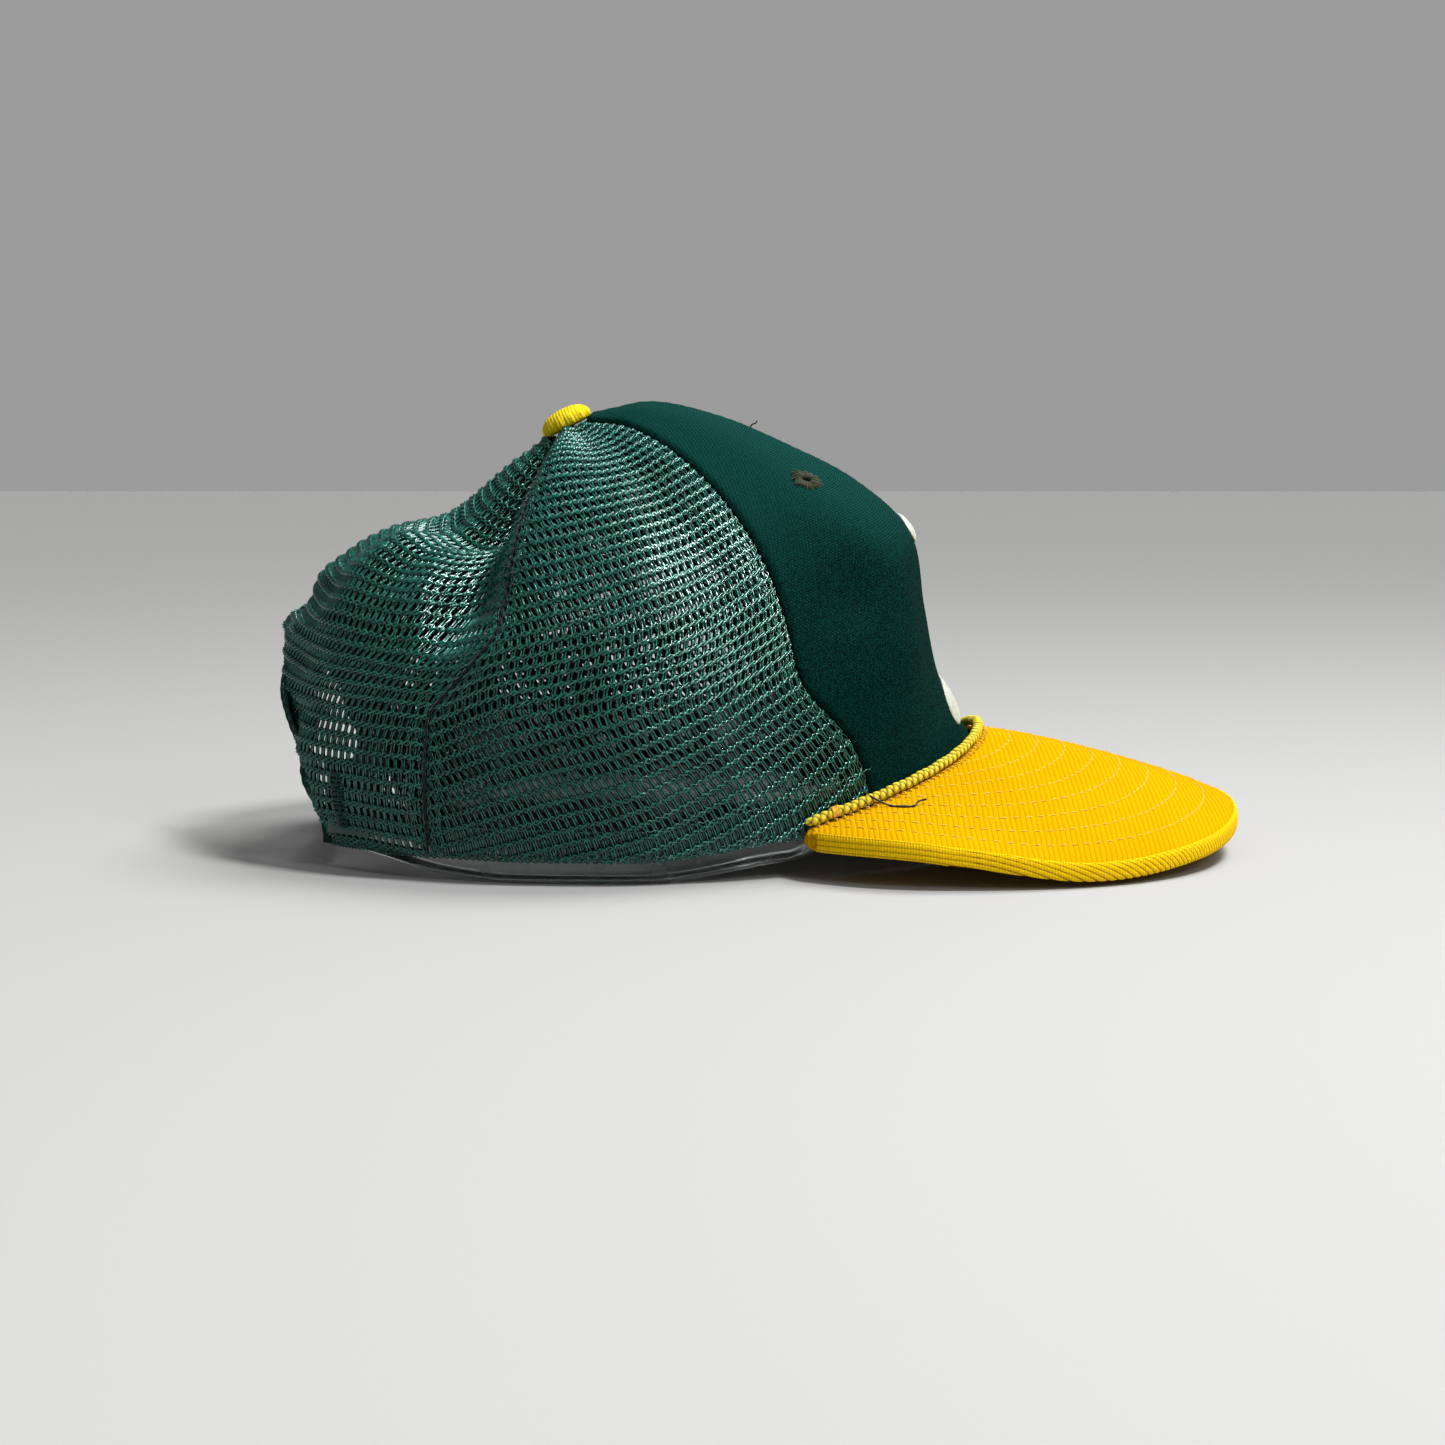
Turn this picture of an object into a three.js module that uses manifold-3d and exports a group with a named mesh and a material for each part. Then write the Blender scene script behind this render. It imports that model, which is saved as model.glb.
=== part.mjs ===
// A five-gore trucker cap: two stiff front panels, two side and two rear mesh panels, a curved bill,
// a rope along the bill seam, a clear sweatband and a two-piece snap strap across the rear arch.
// Millimetres, +Z up.  The bill points to -Y and the wearer's right is -X.  z = 0 is the table that
// the sweatband's flat lip rests on.
import * as THREE from 'three';
import { mergeVertices } from 'three/addons/utils/BufferGeometryUtils.js';
import Module from 'manifold-3d';

const wasm = await Module();
wasm.setup();

// ---- driving dimensions -------------------------------------------------------------------------
const CROWN_CENTRE_Y = 37; // centre of the oval head opening
const CROWN_HALF_LENGTH = 95.4;
const CROWN_HALF_WIDTH = 81;
const CROWN_TAPER = 0.06; // the oval is this much narrower in front than behind
const APEX_Y = 52.5; // where the gores meet, under the button
const APEX_Z = 114;
const HEM_Z = 5.8; // lower edge of the mesh panels
const GORE_TOP = 0.955; // the gores stop here, which leaves a small hole for the rivet

const BILL_HALF_ANGLE = 61.5; // the bill spans this much of the oval each way from the front
const BILL_HALF_WIDTH = 88;
const BILL_WIDEST_Y = -45;
const BILL_TIP_Y = -130;
const BILL_ROUNDNESS = 2.3; // superellipse exponent of the bill's outline
const BILL_RETURN = 0.76; // share of the outline before it turns back to the corner
const BILL_SEAM_Z = 31; // bill height at the centre of the crown seam
const BILL_SEAM_DROP = 18.7; // and how far the seam falls to the corner
const BILL_END = 0.97; // the layers stop just short of the pointed corners
const COVER = 0.8; // cloth on the bill
const BOARD = 1.8; // stiffener inside the bill
const LAYER_GAP = 0.5; // clearance between the bill's layers
const GAP = 0.3; // clearance between neighbouring solids

const PANEL = 1.2; // wall of a crown panel
const LINING_FROM = 1.7; // depths below the crown's outer face
const LINING_TO = 3.1;
const TAPE_FROM = 1.8;
const TAPE_TO = 2.6;
const FRONT_TAPE_FROM = 3.6;
const FRONT_TAPE_TO = 4.4;
const TAPE_HALF = 6;
const TAPE_MIDDLE = 3;
const BAND_DEPTH = 5.4; // sweatband's outer face below the crown's outer face
const BAND_WALL = 0.9;
const BAND_HEIGHT = 32;
const LIP_WIDTH = 2.6;
const LIP_HEIGHT = 1.4;

const ARCH_HALF_ANGLE = 35; // rear opening, each way from the back
const ARCH_TOP = 0.35; // its height, as a share of the gore
const BINDING_DEPTH = 2.2;

const ROPE_RADIUS = 1.35;
const STRAP_THICK = 1.3;
const STRAP_HINGE_X = 43;
const STRAP_PLANE_Y = 109.4; // where the two strap halves meet
const STRAP_MID_Z = 18.5;
const STRAP_ROOT_HEIGHT = 18;
const STRAP_TIP_HEIGHT = 13;
const STRAP_LENGTH = 70;
const STRAP_TAPER = 10; // length over which it narrows from the root
const SNAP_PITCH = 7.5;
const SNAP_COUNT = 6;
const SNAP_RADIUS = 2.0;
const SNAP_HOLE_RADIUS = 2.6;

// ---- curves -------------------------------------------------------------------------------------
const radians = THREE.MathUtils.degToRad;
const ramp = (from, to, x) => THREE.MathUtils.smoothstep(x, from, to);

// Smooth curve through (xs, ys), with the slope at each knot taken from its neighbours.
function smoothCurve(xs, ys, x) {
  const last = xs.length - 1;
  const slope = (i) => {
    const a = Math.max(i - 1, 0);
    const b = Math.min(i + 1, last);
    return (ys[b] - ys[a]) / (xs[b] - xs[a]);
  };
  let i = 0;
  while (i < last - 1 && x > xs[i + 1]) i += 1;
  const width = xs[i + 1] - xs[i];
  const t = (x - xs[i]) / width;
  const t2 = t * t;
  const t3 = t2 * t;
  return (2 * t3 - 3 * t2 + 1) * ys[i] + (t3 - 2 * t2 + t) * width * slope(i)
    + (3 * t2 - 2 * t3) * ys[i + 1] + (t3 - t2) * width * slope(i + 1);
}

// ---- crown --------------------------------------------------------------------------------------
// A profile runs from the hem to the button in eight equal steps.  reach is the distance from the
// apex as a share of the hem's, height is in mm above the table; the first height is the hem's own.
const PROFILES = {
  front: {
    reach: [1, 0.906, 0.86, 0.833, 0.703, 0.537, 0.361, 0.18, 0],
    height: [0, 48, 67.5, 86.5, 100, 109.5, 117.5, 121, APEX_Z],
  },
  cheek: {
    reach: [1, 0.99, 0.975, 0.925, 0.8, 0.62, 0.42, 0.2, 0],
    height: [0, 44, 62, 79, 93, 105, 114.5, 119, APEX_Z],
  },
  seam: {
    reach: [1, 0.99, 0.965, 0.9, 0.79, 0.63, 0.43, 0.21, 0],
    height: [0, 33, 50, 67, 83, 97, 108.5, 115, APEX_Z],
  },
  side: {
    reach: [1, 1.03, 1.03, 0.97, 0.85, 0.67, 0.45, 0.22, 0],
    height: [0, 24, 42, 60, 77, 92, 104, 111, APEX_Z],
  },
  ridge: {
    reach: [1, 1.03, 1.03, 0.98, 0.87, 0.69, 0.46, 0.22, 0],
    height: [0, 24, 42, 60, 77, 92, 104, 111, APEX_Z],
  },
  valley: {
    reach: [0.99, 1.02, 1, 0.93, 0.82, 0.64, 0.44, 0.2, 0],
    height: [0, 23, 40, 56, 71, 81, 84, 101, APEX_Z],
  },
  bulge: {
    reach: [0.96, 1.01, 1, 0.96, 0.86, 0.66, 0.44, 0.2, 0],
    height: [0, 23, 40, 58, 74, 85, 86, 103, APEX_Z],
  },
  rear: {
    reach: [0.95, 0.985, 0.985, 0.93, 0.8, 0.6, 0.4, 0.19, 0],
    height: [0, 24, 42, 61, 77, 86.5, 91.5, 105, APEX_Z],
  },
  farRear: {
    reach: [0.98, 1.01, 1, 0.95, 0.84, 0.65, 0.43, 0.2, 0],
    height: [0, 24, 42, 60, 75, 85, 90, 105, APEX_Z],
  },
};

// Where each profile stands, in degrees round the oval from the front; minus is the right side.
const STATIONS = [
  [-238, 'farRear'], [-180, 'rear'], [-150, 'bulge'], [-122, 'valley'], [-107, 'ridge'],
  [-85, 'side'], [-60, 'seam'], [-37, 'cheek'], [0, 'front'], [37, 'cheek'], [60, 'seam'],
  [95, 'side'], [122, 'farRear'], [150, 'farRear'], [180, 'rear'], [210, 'bulge'],
  [238, 'valley'],
];
const STATION_ANGLES = STATIONS.map(([angle]) => angle);
const STEPS = [0, 0.125, 0.25, 0.375, 0.5, 0.625, 0.75, 0.875, 1];

// The right rear gore is caved in behind the side seam.
const DENT = { angle: -117, width: 8, depth: 14, rise: [0.36, 0.48], fade: [0.8, 0.95] };

// The oval of the hem, in plan.
function oval(angle) {
  const a = radians(angle);
  const x = CROWN_HALF_WIDTH * Math.sin(a) * (1 - CROWN_TAPER * Math.cos(a));
  return [x, CROWN_CENTRE_Y - CROWN_HALF_LENGTH * Math.cos(a)];
}

// Height of the bill's upper face along the crown seam; side runs from -1 to 1.  The arch is round
// at its crest and runs nearly straight down to the corners.
const CREST = 0.12; // half-width of the round crest
const FALL_POWER = 1.15; // 1 would run straight to the corners
function billSeamHeight(side) {
  const fall = (Math.hypot(side, CREST) - CREST) / (Math.hypot(1, CREST) - CREST);
  return BILL_SEAM_Z - BILL_SEAM_DROP * fall ** FALL_POWER;
}

function hemHeight(angle) {
  const a = Math.abs(angle);
  const behind = ramp(BILL_HALF_ANGLE, 85, a);
  const seam = billSeamHeight(Math.min(a / BILL_HALF_ANGLE, 1)) - COVER - BOARD;
  return seam * (1 - behind) + HEM_Z * behind;
}

// Outer face of the crown: angle in degrees round the oval, t from 0 at the hem to 1 at the button.
function crown(angle, t) {
  const knot = (key, i) => {
    const values = STATIONS.map(([, name]) => PROFILES[name][key][i]);
    return smoothCurve(STATION_ANGLES, values, angle);
  };
  const reaches = STEPS.map((_, i) => knot('reach', i));
  const heights = STEPS.map((_, i) => (i === 0 ? hemHeight(angle) : knot('height', i)));
  const [x, y] = oval(angle);
  const cave = DENT.depth * Math.exp(-(((angle - DENT.angle) / DENT.width) ** 2))
    * ramp(...DENT.rise, t) * (1 - ramp(...DENT.fade, t));
  const reach = smoothCurve(STEPS, reaches, t) - cave / Math.hypot(x, y - APEX_Y);
  return new THREE.Vector3(reach * x, APEX_Y + reach * (y - APEX_Y), smoothCurve(STEPS, heights, t));
}

function crownNormal(angle, t) {
  const across = crown(angle + 0.5, t).sub(crown(angle - 0.5, t));
  const up = crown(angle, Math.min(t + 0.01, 1)).sub(crown(angle, Math.max(t - 0.01, 0)));
  return across.cross(up).normalize();
}

function crownInside(angle, t, depth) {
  return crown(angle, t).addScaledVector(crownNormal(angle, t), -depth);
}

// Degrees that span a length along the crown at a height t.
function degreesFor(length, angle, t) {
  return length / crown(angle + 0.5, t).distanceTo(crown(angle - 0.5, t));
}

// The seams, as the angle they run at from hem to button.
const FRONT_SEAM = { hem: 47, swing: 13, by: 0.28, lean: 2 };
const REAR_SEAM = { hem: 120, swing: 11.5, from: 0.25, by: 0.42 };
const frontSeam = (t) => FRONT_SEAM.hem + FRONT_SEAM.swing * ramp(0, FRONT_SEAM.by, t) - FRONT_SEAM.lean * t;
const rearSeam = (t) => REAR_SEAM.hem - REAR_SEAM.swing * ramp(REAR_SEAM.from, REAR_SEAM.by, t);

// ---- bill ---------------------------------------------------------------------------------------
// Heights of the bill's outer edge, against the share of the outline from the tip to the corner.
const EDGE_SIDES = [-0.34, 0, 0.34, 0.58, 0.8, 1];
const EDGE_HEIGHTS = [8, 12.5, 8, 5.8, 11.5, 12.3];
const BILL_CORNER_CLEAR = 1.5; // the outline ends this far outside the crown
const BILL_DOME = 1.5; // the bill leaves the crown level and falls faster towards its edge

// Outer edge in plan: a superellipse round the front, then a run back to the crown's corner.
function billOutline(side) {
  const along = Math.abs(side);
  const sweepAngle = Math.min(along / BILL_RETURN, 1) * (Math.PI / 2);
  const power = 2 / BILL_ROUNDNESS;
  const depth = BILL_TIP_Y - BILL_WIDEST_Y;
  let x = BILL_HALF_WIDTH * Math.sin(sweepAngle) ** power;
  let y = BILL_WIDEST_Y + depth * Math.max(Math.cos(sweepAngle), 0) ** power;
  if (along > BILL_RETURN) {
    const back = (along - BILL_RETURN) / (1 - BILL_RETURN);
    const [cornerX, cornerY] = oval(BILL_HALF_ANGLE);
    x = BILL_HALF_WIDTH - (BILL_HALF_WIDTH - cornerX - BILL_CORNER_CLEAR) * back * back;
    y = BILL_WIDEST_Y + (cornerY - BILL_WIDEST_Y) * back;
  }
  return [Math.sign(side) * x, y];
}

// Upper face: side from -1 at the right corner to 1 at the left, share from 0 at the crown to 1 at
// the edge.  inward pulls a point back from the edge, and depth lowers it.
function bill(side, share, inward = 0, depth = 0) {
  const [innerX, innerY] = oval(BILL_HALF_ANGLE * side);
  const [outerX, outerY] = billOutline(side);
  const width = Math.hypot(outerX - innerX, outerY - innerY);
  const reach = share - inward / width;
  const seam = billSeamHeight(side);
  const edge = smoothCurve(EDGE_SIDES, EDGE_HEIGHTS, Math.abs(side));
  const z = seam + (edge - seam) * Math.max(reach, 0) ** BILL_DOME - depth;
  return new THREE.Vector3(innerX + (outerX - innerX) * reach, innerY + (outerY - innerY) * reach, z);
}

// ---- solids from grids --------------------------------------------------------------------------
function geometryFrom(points, faces) {
  const geometry = new THREE.BufferGeometry();
  geometry.setAttribute('position', new THREE.Float32BufferAttribute(points.flatMap((p) => p.toArray()), 3));
  geometry.setIndex(faces.flat());
  return geometry;
}

// A plate between two faces given on the same grid; place(column, row, face) is face 0 outside.
function plate(columns, rows, place) {
  const points = [];
  const faces = [];
  const index = (c, r, face) => (face * columns + c) * rows + r;
  for (let face = 0; face < 2; face += 1) {
    for (let c = 0; c < columns; c += 1) {
      for (let r = 0; r < rows; r += 1) points.push(place(c, r, face));
    }
  }
  const quad = (a, b, c, d) => faces.push([a, b, c], [a, c, d]);
  const end = columns - 1;
  for (let c = 0; c < columns - 1; c += 1) {
    for (let r = 0; r < rows - 1; r += 1) {
      quad(index(c, r, 0), index(c + 1, r, 0), index(c + 1, r + 1, 0), index(c, r + 1, 0));
      faces.push([index(c, r, 1), index(c + 1, r + 1, 1), index(c + 1, r, 1)]);
      faces.push([index(c, r, 1), index(c, r + 1, 1), index(c + 1, r + 1, 1)]);
    }
  }
  for (let c = 0; c < columns - 1; c += 1) {
    quad(index(c, 0, 1), index(c + 1, 0, 1), index(c + 1, 0, 0), index(c, 0, 0));
    quad(index(c, rows - 1, 0), index(c + 1, rows - 1, 0), index(c + 1, rows - 1, 1), index(c, rows - 1, 1));
  }
  for (let r = 0; r < rows - 1; r += 1) {
    quad(index(0, r, 0), index(0, r + 1, 0), index(0, r + 1, 1), index(0, r, 1));
    quad(index(end, r, 1), index(end, r + 1, 1), index(end, r + 1, 0), index(end, r, 0));
  }
  return geometryFrom(points, faces);
}

// A bar whose section, a closed ring of points given anticlockwise, is placed at each station.
function sweep(section, stations, place) {
  const ring = section.length;
  const points = stations.flatMap((station) => section.map((corner) => place(station, corner)));
  const faces = [];
  for (let s = 0; s < stations.length - 1; s += 1) {
    for (let i = 0; i < ring; i += 1) {
      const j = (i + 1) % ring;
      const a = s * ring;
      const b = a + ring;
      faces.push([a + i, b + i, b + j], [a + i, b + j, a + j]);
    }
  }
  const cap = THREE.ShapeUtils.triangulateShape(section.map(([u, v]) => new THREE.Vector2(u, v)), []);
  const end = (stations.length - 1) * ring;
  for (const [a, b, c] of cap) faces.push([a, b, c], [end + a, end + c, end + b]);
  return geometryFrom(points, faces);
}

// count + 1 evenly spaced numbers.
function spread(from, to, count) {
  return Array.from({ length: count + 1 }, (_, i) => from + ((to - from) * i) / count);
}

function toManifold(geometry) {
  const bare = geometry.clone();
  bare.deleteAttribute('normal');
  bare.deleteAttribute('uv');
  const merged = mergeVertices(bare, 1e-4);
  return new wasm.Manifold(new wasm.Mesh({
    numProp: 3,
    vertProperties: new Float32Array(merged.attributes.position.array),
    triVerts: new Uint32Array(merged.index.array),
  }));
}

function fromManifold(solid) {
  const mesh = solid.getMesh();
  const geometry = new THREE.BufferGeometry();
  geometry.setAttribute('position', new THREE.BufferAttribute(new Float32Array(mesh.vertProperties), 3));
  geometry.setIndex(new THREE.BufferAttribute(new Uint32Array(mesh.triVerts), 1));
  return geometry;
}

// ---- materials and the scene --------------------------------------------------------------------
const cap = new THREE.Group();
const finish = (color, roughness, metalness = 0) => ({ color, roughness, metalness });
const GREEN_CLOTH = finish(0x174a45, 0.8);
const GREEN_MESH = finish(0x245246, 0.45);
const GREEN_TAPE = finish(0x1c4238, 0.85);
const WHITE_FOAM = finish(0xd8d8d2, 0.95);
const YELLOW_CLOTH = finish(0xe9b41c, 0.85);
const YELLOW_ROPE = finish(0xf2d93a, 0.8);
const BOARD_PLASTIC = finish(0x3a3c3a, 0.7);
const CLEAR_PLASTIC = finish(0xcfd3d2, 0.15);
const GREEN_PLASTIC = finish(0x1e4a3e, 0.35);
const OLIVE_THREAD = finish(0x464b37, 0.9);
const WHITE_THREAD = finish(0xe6e8dc, 0.6);
const STEEL = finish(0xa8a9a6, 0.35, 1);

function add(name, geometry, look) {
  const mesh = new THREE.Mesh(geometry, new THREE.MeshStandardMaterial(look));
  mesh.name = name;
  cap.add(mesh);
  return mesh;
}

const SIDES = [['right', -1], ['left', 1]];

// ---- crown panels -------------------------------------------------------------------------------
const ROWS = [0, 0.03, 0.11, 0.2, 0.29, 0.38, 0.47, 0.56, 0.65, 0.74, 0.83, 0.9, GORE_TOP];
const INNER_ROWS = ROWS.slice(1, -1); // linings and tapes stop short of both ends of a gore

// Lowest t of the wall at an angle: zero, or the edge of the rear arch.
function archEdge(angle) {
  const fromBack = (180 - Math.abs(angle)) / ARCH_HALF_ANGLE;
  return fromBack < 1 ? ARCH_TOP * Math.sqrt(1 - fromBack * fromBack) : 0;
}

// A strip of the crown between two seams, from one depth to another.  lines are angles as functions
// of t, from the front to the back of the right side, and are mirrored for the left.
function gore(lines, side, from, to, rows = ROWS, bottom = () => 0) {
  const ordered = side < 0 ? [...lines].reverse() : lines;
  return plate(ordered.length, rows.length, (c, r, face) => {
    const line = ordered[c];
    const low = bottom(line(0));
    const t = low + (rows[r] * (GORE_TOP - low)) / GORE_TOP;
    return crownInside(side * line(t), t, face === 0 ? from : to);
  });
}

// A line beside a seam.  Near the apex, where gores are narrow, it closes in on the seam.
const WIDEST_TURN = 6; // degrees an offset may span there, and
const TURN_PER_MM = 2; // this many more for each millimetre of it
const offset = (seam, length, side) => (t) => {
  const most = WIDEST_TURN + TURN_PER_MM * Math.abs(length);
  const degrees = THREE.MathUtils.clamp(degreesFor(length, side * seam(t), t), -most, most);
  return seam(t) + degrees;
};

// Lines at chosen distances from two seams, and evenly spread in between.
function goreLines(first, second, inner, side) {
  const near = [GAP, TAPE_MIDDLE, TAPE_HALF];
  const between = (share) => (t) => {
    const a = offset(first, TAPE_HALF, side)(t);
    const b = offset(second, -TAPE_HALF, side)(t);
    return a + (b - a) * share;
  };
  return [
    ...near.map((length) => offset(first, length, side)),
    ...spread(0, 1, inner).slice(1, -1).map(between),
    ...near.reverse().map((length) => offset(second, -length, side)),
  ];
}

const frontCentre = () => 0;
const backCentre = () => 180;

// The rear gore's lines follow the arch: one at each step of its quarter turn.
const ARCH_TURNS = spread(0, Math.PI / 2, 5);
const archAngle = (turn) => 180 - ARCH_HALF_ANGLE * Math.cos(turn);
function rearLines(side) {
  const ends = goreLines(rearSeam, backCentre, 1, side);
  const corner = archAngle(0);
  const beside = (t) => (ends[2](t) + corner) / 2;
  const alongArch = ARCH_TURNS.slice(0, -1).map((turn) => () => archAngle(turn));
  return [...ends.slice(0, 3), beside, ...alongArch, ...ends.slice(3)];
}

for (const [name, side] of SIDES) {
  const front = goreLines(frontCentre, frontSeam, 4, side);
  const middle = goreLines(frontSeam, rearSeam, 5, side);
  const rear = rearLines(side);
  add(`front_panel_${name}`, gore(front, side, 0, PANEL), GREEN_CLOTH);
  add(`front_lining_${name}`, gore(front, side, LINING_FROM, LINING_TO, INNER_ROWS), WHITE_FOAM);
  add(`side_mesh_${name}`, gore(middle, side, 0, PANEL), GREEN_MESH);
  add(`rear_mesh_${name}`, gore(rear, side, 0, PANEL, ROWS, archEdge), GREEN_MESH);
}

// ---- seam tapes ---------------------------------------------------------------------------------
function tape(seam, side, from, to, rows = INNER_ROWS, bottom = () => 0) {
  const offsets = [-TAPE_HALF, -TAPE_MIDDLE, TAPE_MIDDLE, TAPE_HALF];
  return gore(offsets.map((length) => offset(seam, length, side)), side, from, to, rows, bottom);
}

for (const [name, side] of SIDES) {
  add(`front_side_tape_${name}`, tape(frontSeam, side, FRONT_TAPE_FROM, FRONT_TAPE_TO), GREEN_TAPE);
  add(`side_rear_tape_${name}`, tape(rearSeam, side, TAPE_FROM, TAPE_TO), GREEN_TAPE);
}
add('centre_front_tape', tape(frontCentre, 1, FRONT_TAPE_FROM, FRONT_TAPE_TO), GREEN_TAPE);
add('centre_back_tape', tape(backCentre, 1, TAPE_FROM, TAPE_TO, INNER_ROWS, archEdge), GREEN_TAPE);

// ---- sweatband, arch binding and label ----------------------------------------------------------
// The band's lower edge lies on the table, and lifts with the bill seam in front.
const bandLow = (angle) => hemHeight(angle) - HEM_Z;

// A point at a height, at a depth inside the crown's wall; below the hem the wall goes straight down.
const WALL_TOP = 0.6; // t above which nothing is placed by its height
const HALVINGS = 24;
function wallAt(angle, z, depth) {
  let low = 0;
  let high = WALL_TOP;
  for (let i = 0; i < HALVINGS; i += 1) {
    const middle = (low + high) / 2;
    if (crownInside(angle, middle, depth).z < z) low = middle;
    else high = middle;
  }
  return crownInside(angle, low, depth).setZ(z);
}

const BAND_END = 142; // degrees each way from the front
const BAND_STEPS = [12, 22]; // heights between which the band follows the wall
const bandInner = BAND_DEPTH + BAND_WALL;
const lipOuter = bandInner - LIP_WIDTH;
const bandSection = [
  [-lipOuter, 0], [-lipOuter, LIP_HEIGHT], [-BAND_DEPTH, LIP_HEIGHT],
  ...BAND_STEPS.map((up) => [-BAND_DEPTH, up]),
  [-BAND_DEPTH, BAND_HEIGHT], [-bandInner, BAND_HEIGHT],
  ...[...BAND_STEPS].reverse().map((up) => [-bandInner, up]),
  [-bandInner, 0],
];
const onBand = (angle, [out, up]) => wallAt(angle, bandLow(angle) + up, -out);
add('sweatband', sweep(bandSection, spread(-BAND_END, BAND_END, 34), onBand), CLEAR_PLASTIC);

const LABEL = { from: 116, to: 126, low: 8, high: 25, thick: 0.4 };
const labelDepths = [bandInner + GAP, bandInner + GAP + LABEL.thick];
const labelAngles = spread(LABEL.from, LABEL.to, 2);
add('care_label', plate(3, 2, (c, r, face) => {
  const z = r === 0 ? LABEL.low : LABEL.high;
  return wallAt(labelAngles[c], z, labelDepths[face]);
}), WHITE_THREAD);

// Binding round the rear arch; u goes into the opening and v inwards.
const BINDING_IN = 1.7; // inside the wall's outer face
const BINDING_OUT = 0.9; // and outside it
const BINDING_SECTION = [
  [GAP, -BINDING_IN], [BINDING_DEPTH, -BINDING_IN], [BINDING_DEPTH, BINDING_OUT], [GAP, BINDING_OUT],
];
const ARCH_SPAN_LENGTH = 55; // millimetres that ARCH_HALF_ANGLE spans on the wall
const ARCH_RISE_LENGTH = 52; // and that ARCH_TOP spans
function onArch(turn, [into, out]) {
  const halfAngle = ARCH_HALF_ANGLE * (1 - into / ARCH_SPAN_LENGTH);
  const rise = ARCH_TOP * (1 - into / ARCH_RISE_LENGTH);
  return crownInside(180 - halfAngle * Math.cos(turn), rise * Math.sin(turn), -out);
}
const archStations = spread(0, Math.PI, 2 * (ARCH_TURNS.length - 1));
add('rear_arch_binding', sweep(BINDING_SECTION, archStations, onArch), GREEN_TAPE);

// ---- bill layers --------------------------------------------------------------------------------
const BILL_STATIONS = spread(-BILL_END, BILL_END, 28);
const SEAM_CLEAR = -0.6; // the layers start this far out from the crown
const RIM = 1.0; // the lower cover wraps the edge up to the upper cover
const RIM_BEVEL = { inward: 0.4, up: 0.7 }; // along the wrap's lower corner
const RIM_SHOULDER = { inward: 0.3, from: 0.8, to: 0.25 }; // and its upper one, as depths
const THIRD = 0.33;
const TWO_THIRDS = 0.67;
const SECTION_LENGTH = 60; // nominal width of the flat section, before it is laid on the bill

// A corner of a bill section: share of the way out, how far inward of that, and depth.
const corner = (share, inward, depth) => [share * SECTION_LENGTH - inward, -depth, share, inward];
const onBill = (side, [, v, share, inward]) => bill(side, share, inward, -v);

function billSheet(top, bottom, edge) {
  const face = (depth) => [
    corner(0, SEAM_CLEAR, depth), corner(THIRD, 0, depth), corner(TWO_THIRDS, 0, depth),
    corner(1, edge, depth),
  ];
  return sweep([...face(bottom), ...face(top).reverse()], BILL_STATIONS, onBill);
}

const boardTop = COVER + LAYER_GAP;
const boardBottom = boardTop + BOARD;
const underTop = boardBottom + LAYER_GAP;
const underBottom = underTop + COVER;
add('visor_top_cover', billSheet(0, COVER, RIM + GAP), YELLOW_CLOTH);
add('visor_board', billSheet(boardTop, boardBottom, RIM + GAP), BOARD_PLASTIC);
const underSection = [
  corner(0, SEAM_CLEAR, underBottom), corner(THIRD, 0, underBottom), corner(TWO_THIRDS, 0, underBottom),
  corner(1, RIM_BEVEL.inward, underBottom), corner(1, 0, underBottom - RIM_BEVEL.up),
  corner(1, 0, RIM_SHOULDER.from), corner(1, RIM_SHOULDER.inward, RIM_SHOULDER.to),
  corner(1, RIM, RIM_SHOULDER.to), corner(1, RIM, underTop),
  corner(TWO_THIRDS, 0, underTop), corner(THIRD, 0, underTop), corner(0, SEAM_CLEAR, underTop),
];
add('visor_under_cover', sweep(underSection, BILL_STATIONS, onBill), YELLOW_CLOTH);

// ---- rope ---------------------------------------------------------------------------------------
const ROPE_CLEAR = 0.4; // above the bill
const ROPE_END = 0.985; // share of the seam it covers each way
function ropeCentre(side) {
  const out = ROPE_RADIUS + ROPE_CLEAR;
  const onTop = bill(side, 0, -out);
  return onTop.setZ(billSeamHeight(side) + out);
}
const ropePath = new THREE.CatmullRomCurve3(spread(-ROPE_END, ROPE_END, 30).map(ropeCentre));
const ropeTurns = spread(0, 2 * Math.PI, 8).slice(0, -1);
const ropeSection = new THREE.Shape(
  ropeTurns.map((a) => new THREE.Vector2(ROPE_RADIUS * Math.cos(a), ROPE_RADIUS * Math.sin(a))),
);
const ropeSettings = { steps: 44, extrudePath: ropePath };
add('brim_rope', new THREE.ExtrudeGeometry(ropeSection, ropeSettings), YELLOW_ROPE);

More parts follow.
